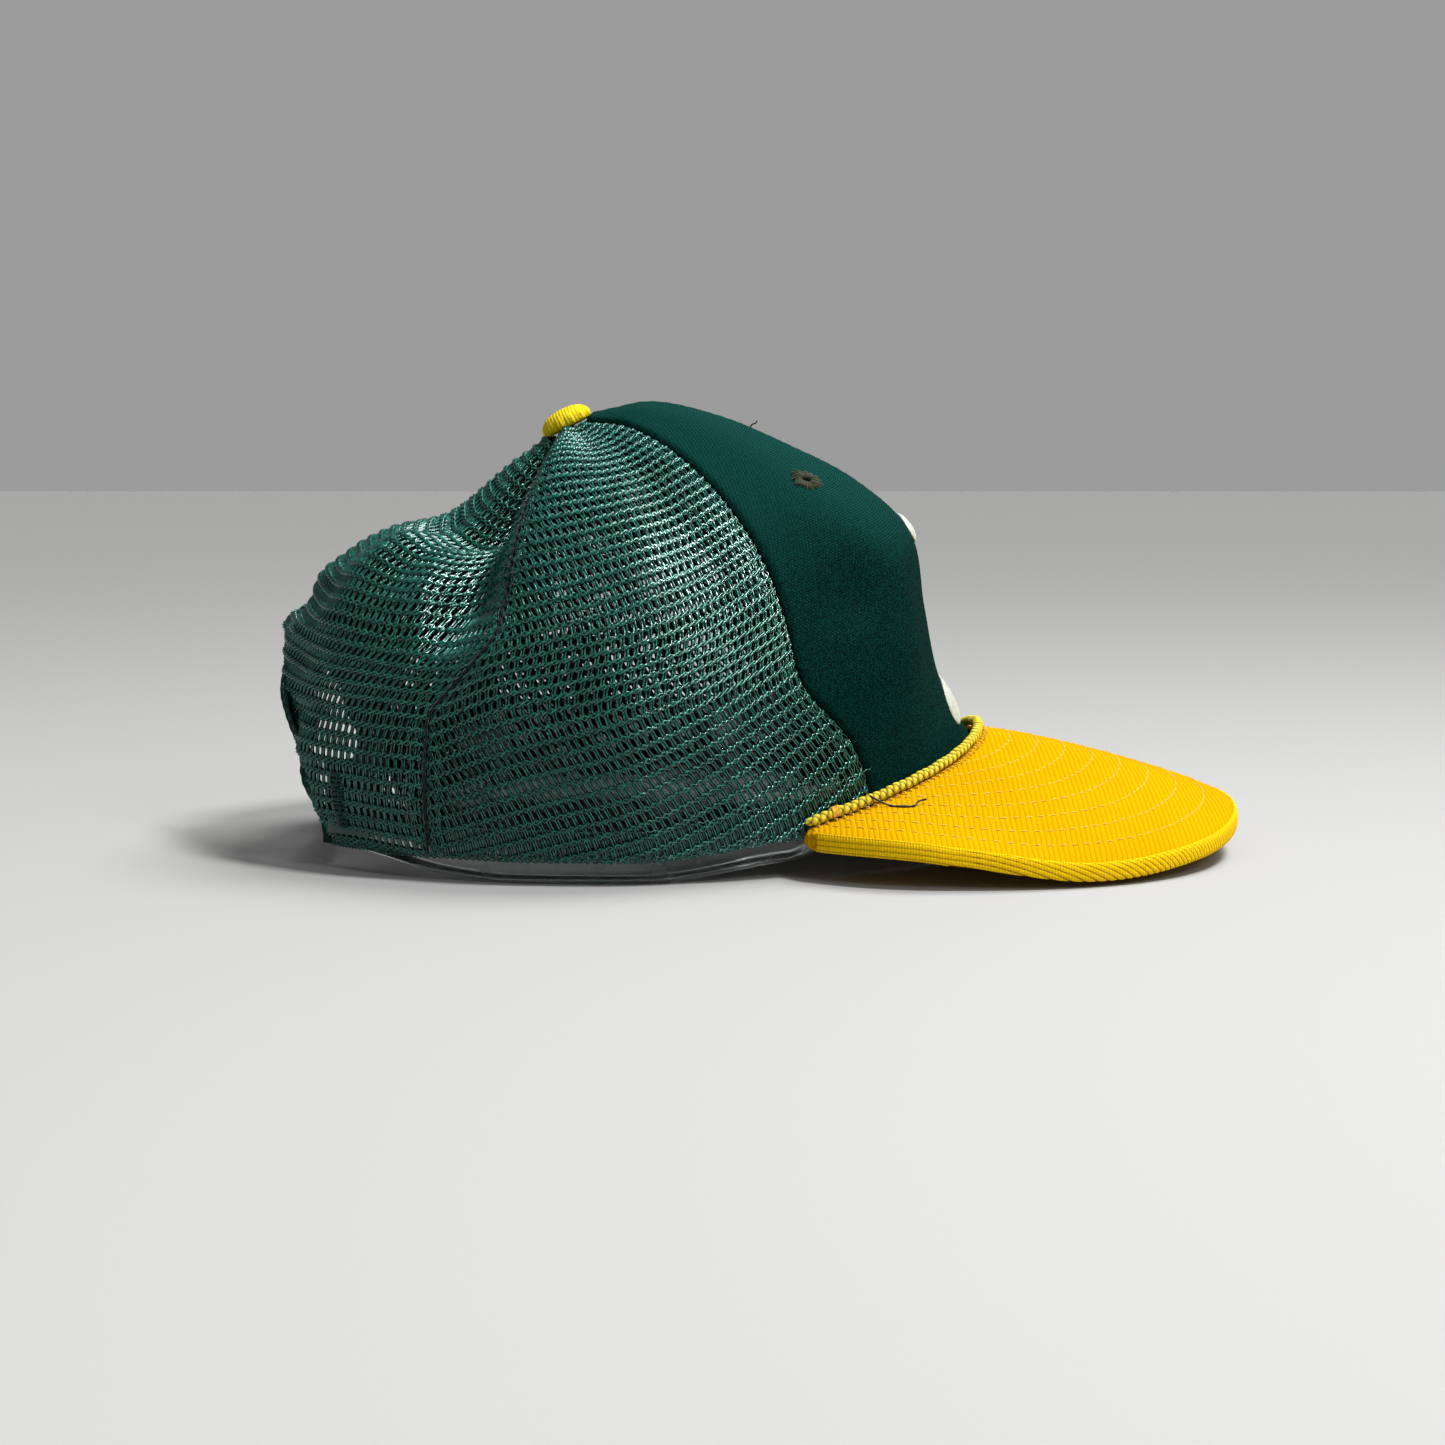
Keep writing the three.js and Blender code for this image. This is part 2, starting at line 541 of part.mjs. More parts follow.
// A thread tack hoops over the rope near each end.
const TACK = { side: 0.9, from: -10, to: 120, thick: 0.6, width: 1.2 };
const tackInner = ROPE_RADIUS + GAP;
for (const [name, side] of SIDES) {
  const hoop = new THREE.Shape();
  hoop.absarc(0, 0, tackInner + TACK.thick, radians(TACK.from), radians(TACK.to), false);
  hoop.absarc(0, 0, tackInner, radians(TACK.to), radians(TACK.from), true);
  const settings = { depth: TACK.width, bevelEnabled: false, curveSegments: 6 };
  const geometry = new THREE.ExtrudeGeometry(hoop, settings);
  const centre = ropeCentre(side * TACK.side);
  const along = ropeCentre(side * (TACK.side + 0.01)).sub(centre).multiplyScalar(side).setZ(0).normalize();
  const outward = new THREE.Vector3(along.y, -along.x, 0);
  const up = new THREE.Vector3(0, 0, 1);
  const basis = new THREE.Matrix4().makeBasis(outward, up, outward.clone().cross(up));
  const mesh = add(`rope_tack_${name}`, geometry, OLIVE_THREAD);
  mesh.quaternion.setFromRotationMatrix(basis);
  mesh.position.copy(centre);
}

// ---- button, eyelets and emblem -----------------------------------------------------------------
const BUTTON_TILT = 27; // it leans back with the gores round it
const buttonAxis = new THREE.Vector3(0, Math.sin(radians(BUTTON_TILT)), Math.cos(radians(BUTTON_TILT)));
const upward = new THREE.Vector3(0, 1, 0);

function turned(profile, segments) {
  return new THREE.LatheGeometry(profile.map(([r, h]) => new THREE.Vector2(r, h)), segments);
}

function standOn(mesh, point, axis) {
  mesh.position.copy(point);
  mesh.quaternion.setFromUnitVectors(upward, axis);
}

const BUTTON_LIFT = 0.9; // underside of the button above the apex
const apex = new THREE.Vector3(0, APEX_Y, APEX_Z);
const buttonProfile = [[0, 0], [6.3, 0], [7, 1], [6.7, 2.8], [5, 4.6], [2.6, 5.4], [0, 5.6]];
const buttonCover = add('button_cover', turned(buttonProfile, 20), YELLOW_CLOTH);
standOn(buttonCover, apex.clone().addScaledVector(buttonAxis, BUTTON_LIFT), buttonAxis);
const rivetTop = BUTTON_LIFT - GAP;
const rivetProfile = [[0, -7], [4, -7], [4, -6.2], [1.5, -6.2], [1.5, rivetTop], [0, rivetTop]];
standOn(add('button_shank', turned(rivetProfile, 12), STEEL), apex, buttonAxis);

const EYELET = { angle: 38, t: 0.57, inner: 1.9, outer: 4, thick: 0.9, clear: 0.5 };
for (const [name, side] of SIDES) {
  const { inner, outer, thick } = EYELET;
  const ring = [[inner, 0], [outer, 0], [outer - 0.5, thick], [inner + 0.3, thick], [inner, 0]];
  const angle = side * EYELET.angle;
  const mesh = add(`eyelet_${name}`, turned(ring, 16), OLIVE_THREAD);
  standOn(mesh, crownInside(angle, EYELET.t, -EYELET.clear), crownNormal(angle, EYELET.t));
}

// Two plain raised bars of satin stitch on the front: the t they span, and their half-angle.
const EMBLEM_BARS = [['upper', 0.355, 0.405, 14], ['lower', 0.04, 0.11, 15]];
const EMBLEM_FROM = 0.5; // clear of the panel
const EMBLEM_TO = 1.3;
for (const [name, low, high, halfAngle] of EMBLEM_BARS) {
  const angles = spread(-halfAngle, halfAngle, 8);
  add(`emblem_${name}_bar`, plate(9, 2, (c, r, face) => (
    crownInside(angles[c], r === 0 ? low : high, face === 0 ? -EMBLEM_TO : -EMBLEM_FROM)
  )), WHITE_THREAD);
}

// ---- snap strap ---------------------------------------------------------------------------------
// Each half is sewn to the wall by a tab, and swings on the line where it leaves the tab.
const STRAP_TAB = { from: 143.5, to: 133, outer: 2.2, inner: 2.2 + STRAP_THICK };
const strapLow = STRAP_MID_Z - STRAP_ROOT_HEIGHT / 2;
const strapHigh = STRAP_MID_Z + STRAP_ROOT_HEIGHT / 2;
const strapKinds = [['peg', -1], ['hole', 1]];
const STRAP_STITCH = { from: 137, to: 139, inset: 2, rows: 3, outer: 0.9, inner: 0.35 };

for (const [kind, side] of strapKinds) {
  const angles = spread(STRAP_TAB.to, STRAP_TAB.from, 3).map((a) => side * a);
  if (side < 0) angles.reverse();
  add(`strap_${kind}_tab`, plate(4, 2, (c, r, face) => (
    wallAt(angles[c], r === 0 ? strapLow : strapHigh, face === 0 ? STRAP_TAB.outer : STRAP_TAB.inner)
  )), GREEN_PLASTIC);
  const stitch = spread(STRAP_STITCH.from, STRAP_STITCH.to, 1).map((a) => side * a);
  if (side < 0) stitch.reverse();
  const { inset, rows, outer, inner } = STRAP_STITCH;
  const stitchHeights = spread(strapLow + inset, strapHigh - inset, rows);
  add(`strap_tack_${side < 0 ? 'right' : 'left'}`, plate(2, rows + 1, (c, r, face) => (
    wallAt(stitch[c], stitchHeights[r], face === 0 ? -outer : -inner)
  )), OLIVE_THREAD);
}

// Outline of a strap half from its hinge line at x = 0, with a round tip.
function strapOutline() {
  const root = STRAP_ROOT_HEIGHT / 2;
  const tip = STRAP_TIP_HEIGHT / 2;
  const shape = new THREE.Shape();
  shape.moveTo(0, -root);
  shape.lineTo(STRAP_TAPER, -tip);
  shape.absarc(STRAP_LENGTH - tip, 0, tip, -Math.PI / 2, Math.PI / 2, false);
  shape.lineTo(STRAP_TAPER, tip);
  shape.lineTo(0, root);
  return shape;
}

// The snaps are centred on the middle of the opening, so holes and pegs meet there.
const snapPlaces = spread(0, SNAP_COUNT - 1, SNAP_COUNT - 1)
  .map((i) => STRAP_HINGE_X + (i - (SNAP_COUNT - 1) / 2) * SNAP_PITCH);
const strapSettings = { depth: STRAP_THICK, bevelEnabled: false, curveSegments: 5 };
const halfGap = GAP / 2;

const holeShape = strapOutline();
for (const place of snapPlaces) {
  holeShape.holes.push(new THREE.Path().absarc(place, 0, SNAP_HOLE_RADIUS, 0, 2 * Math.PI, true));
}
const holeHalf = add('strap_hole_half', new THREE.ExtrudeGeometry(holeShape, strapSettings), GREEN_PLASTIC);
// x runs from the left hinge to the right, z of the outline is up, and the thickness goes outwards
holeHalf.rotation.set(Math.PI / 2, Math.PI, 0);
holeHalf.position.set(STRAP_HINGE_X, STRAP_PLANE_Y + halfGap, STRAP_MID_Z);

const PEG_PROUD = 0.9; // past the half with the holes
const PEG_HEIGHT = STRAP_THICK + GAP + PEG_PROUD; // stands out of the strap's outer face
const PEG_ROOT = 0.4; // and runs this far into it
let pegSolid = toManifold(new THREE.ExtrudeGeometry(strapOutline(), strapSettings));
for (const place of snapPlaces) {
  const peg = new THREE.CylinderGeometry(SNAP_RADIUS, SNAP_RADIUS, PEG_HEIGHT + PEG_ROOT, 10);
  peg.rotateX(Math.PI / 2).translate(place, 0, (PEG_ROOT - PEG_HEIGHT) / 2);
  pegSolid = pegSolid.add(toManifold(peg));
}
const pegHalf = add('strap_peg_half', fromManifold(pegSolid), GREEN_PLASTIC);
pegHalf.rotation.set(Math.PI / 2, 0, 0);
pegHalf.position.set(-STRAP_HINGE_X, STRAP_PLANE_Y - halfGap, STRAP_MID_Z);

export default cap;
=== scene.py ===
"""A slumped trucker mesh cap: stiff green front, net sides and back, ribbed yellow bill.

Lengths are in millimetres until a mesh is made; the frame's own are in metres.  The bill points
to -Y, the wearer's right is -X and z = 0 is the table.
"""
import math

import bpy
import bmesh
import numpy as np
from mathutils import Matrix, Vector


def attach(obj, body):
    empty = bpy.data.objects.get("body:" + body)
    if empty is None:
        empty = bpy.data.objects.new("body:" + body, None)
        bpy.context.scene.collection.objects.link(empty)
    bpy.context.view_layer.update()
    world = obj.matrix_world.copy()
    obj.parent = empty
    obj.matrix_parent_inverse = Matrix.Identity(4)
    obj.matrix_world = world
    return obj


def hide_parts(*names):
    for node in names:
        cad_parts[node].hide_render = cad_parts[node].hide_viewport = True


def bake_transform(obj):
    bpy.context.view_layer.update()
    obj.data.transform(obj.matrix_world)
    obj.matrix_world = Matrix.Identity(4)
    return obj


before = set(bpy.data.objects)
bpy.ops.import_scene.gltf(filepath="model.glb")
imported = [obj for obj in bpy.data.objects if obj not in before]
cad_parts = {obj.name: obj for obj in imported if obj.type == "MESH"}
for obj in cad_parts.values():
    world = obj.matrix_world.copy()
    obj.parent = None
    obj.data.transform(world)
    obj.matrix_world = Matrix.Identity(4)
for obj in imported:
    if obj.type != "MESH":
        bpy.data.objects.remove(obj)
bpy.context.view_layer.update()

MM = 0.001
SHELL = "cap_shell"
rng = np.random.default_rng(7)

# ---- the crown's and the bill's shape, as in the part -------------------------------------------
CENTRE_Y, HALF_LENGTH, HALF_WIDTH, TAPER = 37.0, 95.4, 81.0, 0.06
APEX = np.array([0.0, 52.5, 114.0])
HEM_Z, HEM_BELOW_SEAM, HEM_LEVEL_ANGLE = 5.8, 2.6, 85
FRONT_SEAM_ANGLE, FRONT_SEAM_SPREAD, FRONT_SEAM_LEAN = 47, 13, 2
REAR_SEAM_ANGLE, REAR_SEAM_SWING = 120, 11.5
GORE_TOP = 0.955
BILL_ANGLE = 61.5
BILL_HALF_WIDTH, BILL_WIDEST_Y, BILL_TIP_Y = 88.0, -45.0, -130.0
BILL_ROUNDNESS, BILL_RETURN = 2.3, 0.76
BILL_SEAM_Z, BILL_SEAM_DROP, CREST = 31.0, 18.7, 0.12
BILL_DOME = 1.5
ARCH_ANGLE, ARCH_TOP = 35.0, 0.35

PROFILES = {
    "front": ([1, .906, .86, .833, .703, .537, .361, .18, 0],
              [0, 48, 67.5, 86.5, 100, 109.5, 117.5, 121, 114]),
    "cheek": ([1, .99, .975, .925, .8, .62, .42, .2, 0],
              [0, 44, 62, 79, 93, 105, 114.5, 119, 114]),
    "seam": ([1, .99, .965, .9, .79, .63, .43, .21, 0],
             [0, 33, 50, 67, 83, 97, 108.5, 115, 114]),
    "side": ([1, 1.03, 1.03, .97, .85, .67, .45, .22, 0],
             [0, 24, 42, 60, 77, 92, 104, 111, 114]),
    "ridge": ([1, 1.03, 1.03, .98, .87, .69, .46, .22, 0],
              [0, 24, 42, 60, 77, 92, 104, 111, 114]),
    "valley": ([.99, 1.02, 1, .93, .82, .64, .44, .2, 0],
               [0, 23, 40, 56, 71, 81, 84, 101, 114]),
    "bulge": ([.96, 1.01, 1, .96, .86, .66, .44, .2, 0],
              [0, 23, 40, 58, 74, 85, 86, 103, 114]),
    "rear": ([.95, .985, .985, .93, .8, .6, .4, .19, 0],
             [0, 24, 42, 61, 77, 86.5, 91.5, 105, 114]),
    "far_rear": ([.98, 1.01, 1, .95, .84, .65, .43, .2, 0],
                 [0, 24, 42, 60, 75, 85, 90, 105, 114]),
}
STATIONS = [
    (-238, "far_rear"), (-180, "rear"), (-150, "bulge"), (-122, "valley"), (-107, "ridge"),
    (-85, "side"), (-60, "seam"), (-37, "cheek"), (0, "front"), (37, "cheek"), (60, "seam"),
    (95, "side"), (122, "far_rear"), (150, "far_rear"), (180, "rear"), (210, "bulge"),
    (238, "valley"),
]
STEPS = np.linspace(0, 1, 9)
DENT_ANGLE, DENT_WIDTH, DENT_DEPTH = -117.0, 8.0, 14.0
DENT_FOOT, DENT_HEAD = (.36, .48), (.8, .95)

# swellings of the cloth: height, then centre and width in degrees, then centre and width in t
EVEN_SWELLS = [(-1.2, 26, 7, .22, .16), (-2.3, 45, 9, .34, .07), (.9, 40, 9, .49, .07),
               (3.8, 180, 5.5, .372, .034), (-1.2, 180, 9, .42, .03)]
PLEAT_SWELLS = [(-1.5, -137, 5.0, .55, .12), (1.5, -147, 5.5, .58, .14)]
REAR_SWELLS = [(1.6, -150, 12, .15, .12), (3.2, -165, 12, .27, .1),
               (-1.5, 152, 12, .15, .12), (-4.4, 166, 13, .27, .1)]


def ramp(low, high, x):
    t = np.clip((np.asarray(x, float) - low) / (high - low), 0, 1)
    return t * t * (3 - 2 * t)


def bump(x, centre, width):
    return np.exp(-(((x - centre) / width) ** 2))


def unit(vectors):
    """Vectors scaled to a length of one."""
    return vectors / np.maximum(np.linalg.norm(vectors, axis=-1, keepdims=True), 1e-9)


def distances(points):
    """How far each point lies along a route, or down each row of a grid."""
    steps = np.cumsum(np.linalg.norm(np.diff(points, axis=0), axis=-1), axis=0)
    return np.concatenate([np.zeros_like(steps[:1]), steps])


def smooth_curve(xs, ys, x):
    """Cubic through knots; ys may have one column per curve."""
    xs, ys = np.asarray(xs, float), np.asarray(ys, float)
    i_low = np.maximum(np.arange(len(xs)) - 1, 0)
    i_high = np.minimum(np.arange(len(xs)) + 1, len(xs) - 1)
    span = xs[i_high] - xs[i_low]
    slopes = (ys[i_high] - ys[i_low]) / (span[:, None] if ys.ndim > 1 else span)
    i = np.clip(np.searchsorted(xs, x, side="left") - 1, 0, len(xs) - 2)
    width = xs[i + 1] - xs[i]
    t = (x - xs[i]) / width
    if ys.ndim > 1:
        t, width = t[..., None], width[..., None]
    t2, t3 = t * t, t ** 3
    return ((2 * t3 - 3 * t2 + 1) * ys[i] + (t3 - 2 * t2 + t) * width * slopes[i]
            + (3 * t2 - 2 * t3) * ys[i + 1] + (t3 - t2) * width * slopes[i + 1])


def oval(angle):
    a = np.radians(angle)
    x = HALF_WIDTH * np.sin(a) * (1 - TAPER * np.cos(a))
    return x, CENTRE_Y - HALF_LENGTH * np.cos(a)


def bill_seam_height(side):
    fall = (np.hypot(side, CREST) - CREST) / (math.hypot(1, CREST) - CREST)
    return BILL_SEAM_Z - BILL_SEAM_DROP * fall ** 1.15


def hem_height(angle):
    a = np.abs(angle)
    behind = ramp(BILL_ANGLE, HEM_LEVEL_ANGLE, a)
    seam = bill_seam_height(np.minimum(a / BILL_ANGLE, 1)) - HEM_BELOW_SEAM
    return seam * (1 - behind) + HEM_Z * behind


def front_seam(t):
    lean = FRONT_SEAM_LEAN * np.asarray(t, float)
    return FRONT_SEAM_ANGLE + FRONT_SEAM_SPREAD * ramp(0, 0.28, t) - lean


def rear_seam(t):
    return REAR_SEAM_ANGLE - REAR_SEAM_SWING * ramp(0.25, 0.42, t)


def arch_edge(angle):
    share = np.clip((180 - np.abs(angle)) / ARCH_ANGLE, 0, 1)
    return ARCH_TOP * np.sqrt(1 - share * share)


# ---- the crown as a table that every layer of cloth is laid on ----------------------------------
class Crown:
    """Points and normals of the crown's outer face, on a fine grid of angle and t."""

    def __init__(self, angle_step=0.5, t_count=241):
        self.angles = np.arange(-240, 240 + angle_step / 2, angle_step)
        self.ts = np.linspace(0, 1, t_count)
        names = [name for _, name in STATIONS]
        at = [angle for angle, _ in STATIONS]
        reach = smooth_curve(at, [PROFILES[n][0] for n in names], self.angles)
        height = smooth_curve(at, [PROFILES[n][1] for n in names], self.angles)
        height[:, 0] = hem_height(self.angles)
        r = smooth_curve(STEPS, reach.T, self.ts).T
        z = smooth_curve(STEPS, height.T, self.ts).T
        x, y = oval(self.angles)
        angle, t = np.meshgrid(self.angles, self.ts, indexing="ij")
        cave = (DENT_DEPTH * bump(angle, DENT_ANGLE, DENT_WIDTH)
                * ramp(*DENT_FOOT, t) * (1 - ramp(*DENT_HEAD, t)))
        r = r - cave / np.hypot(x, y - APEX[1])[:, None]
        self.points = np.stack([r * x[:, None], APEX[1] + r * (y - APEX[1])[:, None], z], -1)
        self.find_normals()
        self.points = self.points + self.normals * wrinkles(angle, t)[..., None]
        self.find_normals()

    def find_normals(self):
        across = np.gradient(self.points, axis=0)
        up = np.gradient(self.points, axis=1)
        self.normals = unit(np.cross(across, up))

    def look_up(self, table, angle, t):
        u = (np.asarray(angle, float) - self.angles[0]) / (self.angles[1] - self.angles[0])
        v = np.clip(np.asarray(t, float), 0, 1) * (len(self.ts) - 1)
        i = np.clip(u.astype(int), 0, len(self.angles) - 2)
        j = np.clip(v.astype(int), 0, len(self.ts) - 2)
        fu, fv = (u - i)[..., None], (v - j)[..., None]
        return ((table[i, j] * (1 - fu) + table[i + 1, j] * fu) * (1 - fv)
                + (table[i, j + 1] * (1 - fu) + table[i + 1, j + 1] * fu) * fv)

    def at(self, angle, t, depth=0.0):
        angle, t, depth = np.broadcast_arrays(angle, t, depth)
        angle = np.asarray(angle, float)
        normal = unit(self.look_up(self.normals, angle, t))
        return self.look_up(self.points, angle, t) - normal * np.asarray(depth, float)[..., None]

    def normal(self, angle, t):
        return unit(self.look_up(self.normals, np.asarray(angle, float), t))

    def degrees(self, length, angle, t):
        """Degrees that span a length along the crown, at most a few near the apex."""
        a = np.asarray(angle, float)
        step = np.linalg.norm(self.look_up(self.points, a + .5, t)
                              - self.look_up(self.points, a - .5, t), axis=-1)
        most = 6 + 2 * np.abs(length)
        return np.clip(length / np.maximum(step, 1e-6), -most, most)

    def wall(self, angle, z, depth):
        """A point of the wall at a height; below the hem the wall goes straight down."""
        angle, z = np.broadcast_arrays(np.asarray(angle, float), np.asarray(z, float))
        low, high = np.zeros(angle.shape), np.full(angle.shape, .6)
        for _ in range(18):
            middle = (low + high) / 2
            below = self.at(angle, middle, depth)[..., 2] < z
            low, high = np.where(below, middle, low), np.where(below, high, middle)
        point = self.at(angle, low, depth)
        point[..., 2] = z
        return point


def swells(table, angle, t):
    """The sum of a table's swellings."""
    return sum(height * bump(angle, middle, width) * bump(t, t_middle, t_width)
               for height, middle, width, t_middle, t_width in table)


def wrinkles(angle, t):
    """Soft folds in the cloth, millimetres outward."""
    away = np.abs(angle)
    side = ramp(60, 75, away)
    folds = 1.2 * np.sin(np.radians(angle * 7.3)) * bump(t, .3, .22) * side
    folds += .7 * np.sin(np.radians(angle * 13.1 + 40 + 160 * t)) * bump(t, .55, .25) * side
    folds += .5 * np.sin(np.radians(angle * 19.7 + 300 * t)) * bump(t, .15, .2) * side
    pleat = 1.6 * bump(angle + 250 * (t - .5) * .12, -128, 3.2) * bump(t, .45, .14)
    top = 1.9 * ramp(.9, .985, t)
    behind = ramp(138, 152, away) * (1 - ramp(.45, .6, t))
    crumple = behind * .7 * np.sin(t * 52 + np.radians(away * 9))
    near = np.where(angle < -180, 360 + angle, angle)
    return (folds + pleat + top + crumple + swells(PLEAT_SWELLS, angle, t)
            + swells(EVEN_SWELLS, away, t) + swells(REAR_SWELLS, near, t))


crown = Crown()


# ---- meshes from grids and threads --------------------------------------------------------------
def grid_faces(columns, rows, start=0, flip=False, closed=False):
    c = np.arange(columns if closed else columns - 1)[:, None]
    r = np.arange(rows - 1)[None, :]
    n = (c + 1) % columns
    quads = np.stack([c * rows + r, n * rows + r, n * rows + r + 1, c * rows + r + 1], -1)
    quads = quads.reshape(-1, 4) + start
    return quads[:, ::-1] if flip else quads


def rim_faces(columns, rows, start_out, start_in, flip=False):
    """Walls that join the edges of two faces of a plate."""
    ring = ([(c, 0) for c in range(columns)] + [(columns - 1, r) for r in range(1, rows)]
            + [(c, rows - 1) for c in range(columns - 2, -1, -1)]
            + [(0, r) for r in range(rows - 2, 0, -1)])
    ids = np.array([c * rows + r for c, r in ring])
    out, inner = ids + start_out, ids + start_in
    quads = np.stack([out, inner, np.roll(inner, -1), np.roll(out, -1)], -1)
    return quads[:, ::-1] if flip else quads


def add_piece(name, points, faces, material, slot, body=SHELL, replaces=(), weave=None):
    """A mesh from points in millimetres, riding on a body."""
    mesh = bpy.data.meshes.new(name)
    points = np.asarray(points, float).reshape(-1, 3)
    mesh.from_pydata((points * MM).tolist(), [], [list(f) for f in faces])
    if weave is not None:
        attribute = mesh.attributes.new("weave", "FLOAT_VECTOR", "POINT")
        attribute.data.foreach_set("vector", np.asarray(weave, np.float32).reshape(-1))
    mesh.validate()
    mesh.shade_smooth()
    obj = bpy.data.objects.new(name, mesh)
    bpy.context.scene.collection.objects.link(obj)
    mesh.materials.append(material)
    if body:
        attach(obj, body)
    if replaces:
        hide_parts(*replaces)
    return obj


def plate(outer, inner, weave=None, flip=False):
    """Two faces on one grid, and the walls between their edges."""
    columns, rows = outer.shape[:2]
    count = columns * rows
    faces = np.concatenate([
        grid_faces(columns, rows, 0, flip), grid_faces(columns, rows, count, not flip),
        rim_faces(columns, rows, 0, count, flip)])
    points = np.concatenate([outer.reshape(-1, 3), inner.reshape(-1, 3)])
    if weave is not None:
        weave = np.concatenate([weave.reshape(-1, 3)] * 2)
    return points, faces, weave


def add_plate(name, outer, inner, material, slot, weave, flip=False, **more):
    """A plate made into a piece."""
    points, faces, weave = plate(outer, inner, weave, flip)
    return add_piece(name, points, faces, material, slot, weave=weave, **more)


def ring_faces(rings, sides):
    """Faces between rings of points, by ring and side."""
    k, s = np.arange(rings - 1)[:, None], np.arange(sides)[None, :]
    n = (s + 1) % sides
    return np.stack([k * sides + s, k * sides + n, (k + 1) * sides + n, (k + 1) * sides + s], -1)


def end_faces(rings, sides):
    """The two faces that close the ends of a row of rings."""
    return [list(range(sides))[::-1], [(rings - 1) * sides + i for i in range(sides)]]


def rings_round(points, normals, radius, turn):
    """Rings of points round a route; radius has a row for each of its points."""
    tangent = unit(np.gradient(points, axis=0))
    across = unit(np.cross(tangent, normals))
    up = np.cross(across, tangent)
    ring = np.cos(turn)[None, :, None] * up[:, None] + np.sin(turn)[None, :, None] * across[:, None]
    return points[:, None] + radius[..., None] * ring


def tube(points, normals, radius, sides=3, keep=None):
    """A round bar along points, thinner or thicker where radius says."""
    points = np.asarray(points, float)
    turn = np.linspace(0, 2 * np.pi, sides, endpoint=False)
    verts = rings_round(points, normals, np.broadcast_to(radius, len(points))[:, None], turn)
    quads = ring_faces(len(points), sides)
    if keep is not None:
        quads = quads[keep[:-1] & keep[1:]]
    faces = quads.reshape(-1, 4).tolist()
    if keep is None:
        faces += end_faces(len(points), sides)
    return verts.reshape(-1, 3), faces


def merge_tubes(tubes):
    points, faces, start = [], [], 0
    for p, f in tubes:
        points.append(p)
        faces.extend([[i + start for i in face] for face in f])
        start += len(p)
    return np.concatenate(points), faces


def add_threads(name, tubes, material, slot, **more):
    """Tubes made into one piece."""
    points, faces = merge_tubes(tubes)
    return add_piece(name, points, faces, material, slot, **more)


def drop_unused(points, faces):
    faces = np.asarray(faces)
    used, renumbered = np.unique(faces, return_inverse=True)
    return points[used], renumbered.reshape(faces.shape)


def spline(points, count):
    """A smooth curve through points."""
    points = np.asarray(points, float)
    length = distances(points)
    return smooth_curve(length, points, np.linspace(0, length[-1], count))


# ---- materials ----------------------------------------------------------------------------------
class Look:
    """A Principled material with a short way to add nodes."""

    def __init__(self, name, colour, roughness, **shader):
        self.material = bpy.data.materials.new(name)
        self.material.use_nodes = True
        self.tree = self.material.node_tree
        self.shader = self.tree.nodes["Principled BSDF"]
        self.shader.inputs["Base Color"].default_value = (*colour, 1)
        self.shader.inputs["Roughness"].default_value = roughness
        for key, value in shader.items():
            self.shader.inputs[key.replace("_", " ")].default_value = value

    def node(self, kind, out=0, props=None, **inputs):
        node = self.tree.nodes.new(kind)
        for key, value in (props or {}).items():
            setattr(node, key, value)
        for key, value in inputs.items():
            socket = node.inputs[int(key[1:])] if key[0] == "i" and key[1:].isdigit() \
                else node.inputs[key.replace("_", " ")]
            if isinstance(value, bpy.types.NodeSocket):
                self.tree.links.new(value, socket)
            else:
                socket.default_value = value
        return node.outputs[out]

    def math(self, operation, a, b=0.0):
        return self.node("ShaderNodeMath", props={"operation": operation}, i0=a, i1=b)

    def weave(self):
        return self.node("ShaderNodeAttribute", out=1, props={"attribute_name": "weave"})

    def place(self):
        return self.node("ShaderNodeTexCoord", out=3)

    def facing(self):
        return self.node("ShaderNodeTexCoord", out=1)

    def part(self, vector, axis):
        return self.node("ShaderNodeSeparateXYZ", out="XYZ".index(axis), Vector=vector)

    def waves(self, value, pitch):
        """Rounded ridges, one for each pitch of a value."""
        turned = self.math("MULTIPLY", value, math.pi / pitch)
        return self.math("ABSOLUTE", self.math("SINE", turned))

    def noise(self, vector, scale, detail=2.0, roughness=0.5):
        return self.node("ShaderNodeTexNoise", Vector=vector, Scale=scale, Detail=detail,
                         Roughness=roughness)

    def mix(self, factor, a, b, blend="MIX"):
        node = self.tree.nodes.new("ShaderNodeMix")
        node.data_type = "RGBA"
        node.blend_type = blend
        for index, value in ((0, factor), (6, a), (7, b)):
            if isinstance(value, bpy.types.NodeSocket):
                self.tree.links.new(value, node.inputs[index])
            else:
                node.inputs[index].default_value = value if index == 0 else (*value, 1)
        return node.outputs[2]

    def spread(self, value, low, high, to_low=0.0, to_high=1.0):
        return self.node("ShaderNodeMapRange", Value=value, From_Min=low, From_Max=high,
                         To_Min=to_low, To_Max=to_high)

    def colour(self, socket):
        self.tree.links.new(socket, self.shader.inputs["Base Color"])

    def rough(self, socket):
        self.tree.links.new(socket, self.shader.inputs["Roughness"])

    def bumped(self, height, distance, strength=1.0):
        """distance in metres: how tall a height of one stands."""
        bump_node = self.node("ShaderNodeBump", Height=height, Distance=distance, Strength=strength)
        self.tree.links.new(bump_node, self.shader.inputs["Normal"])


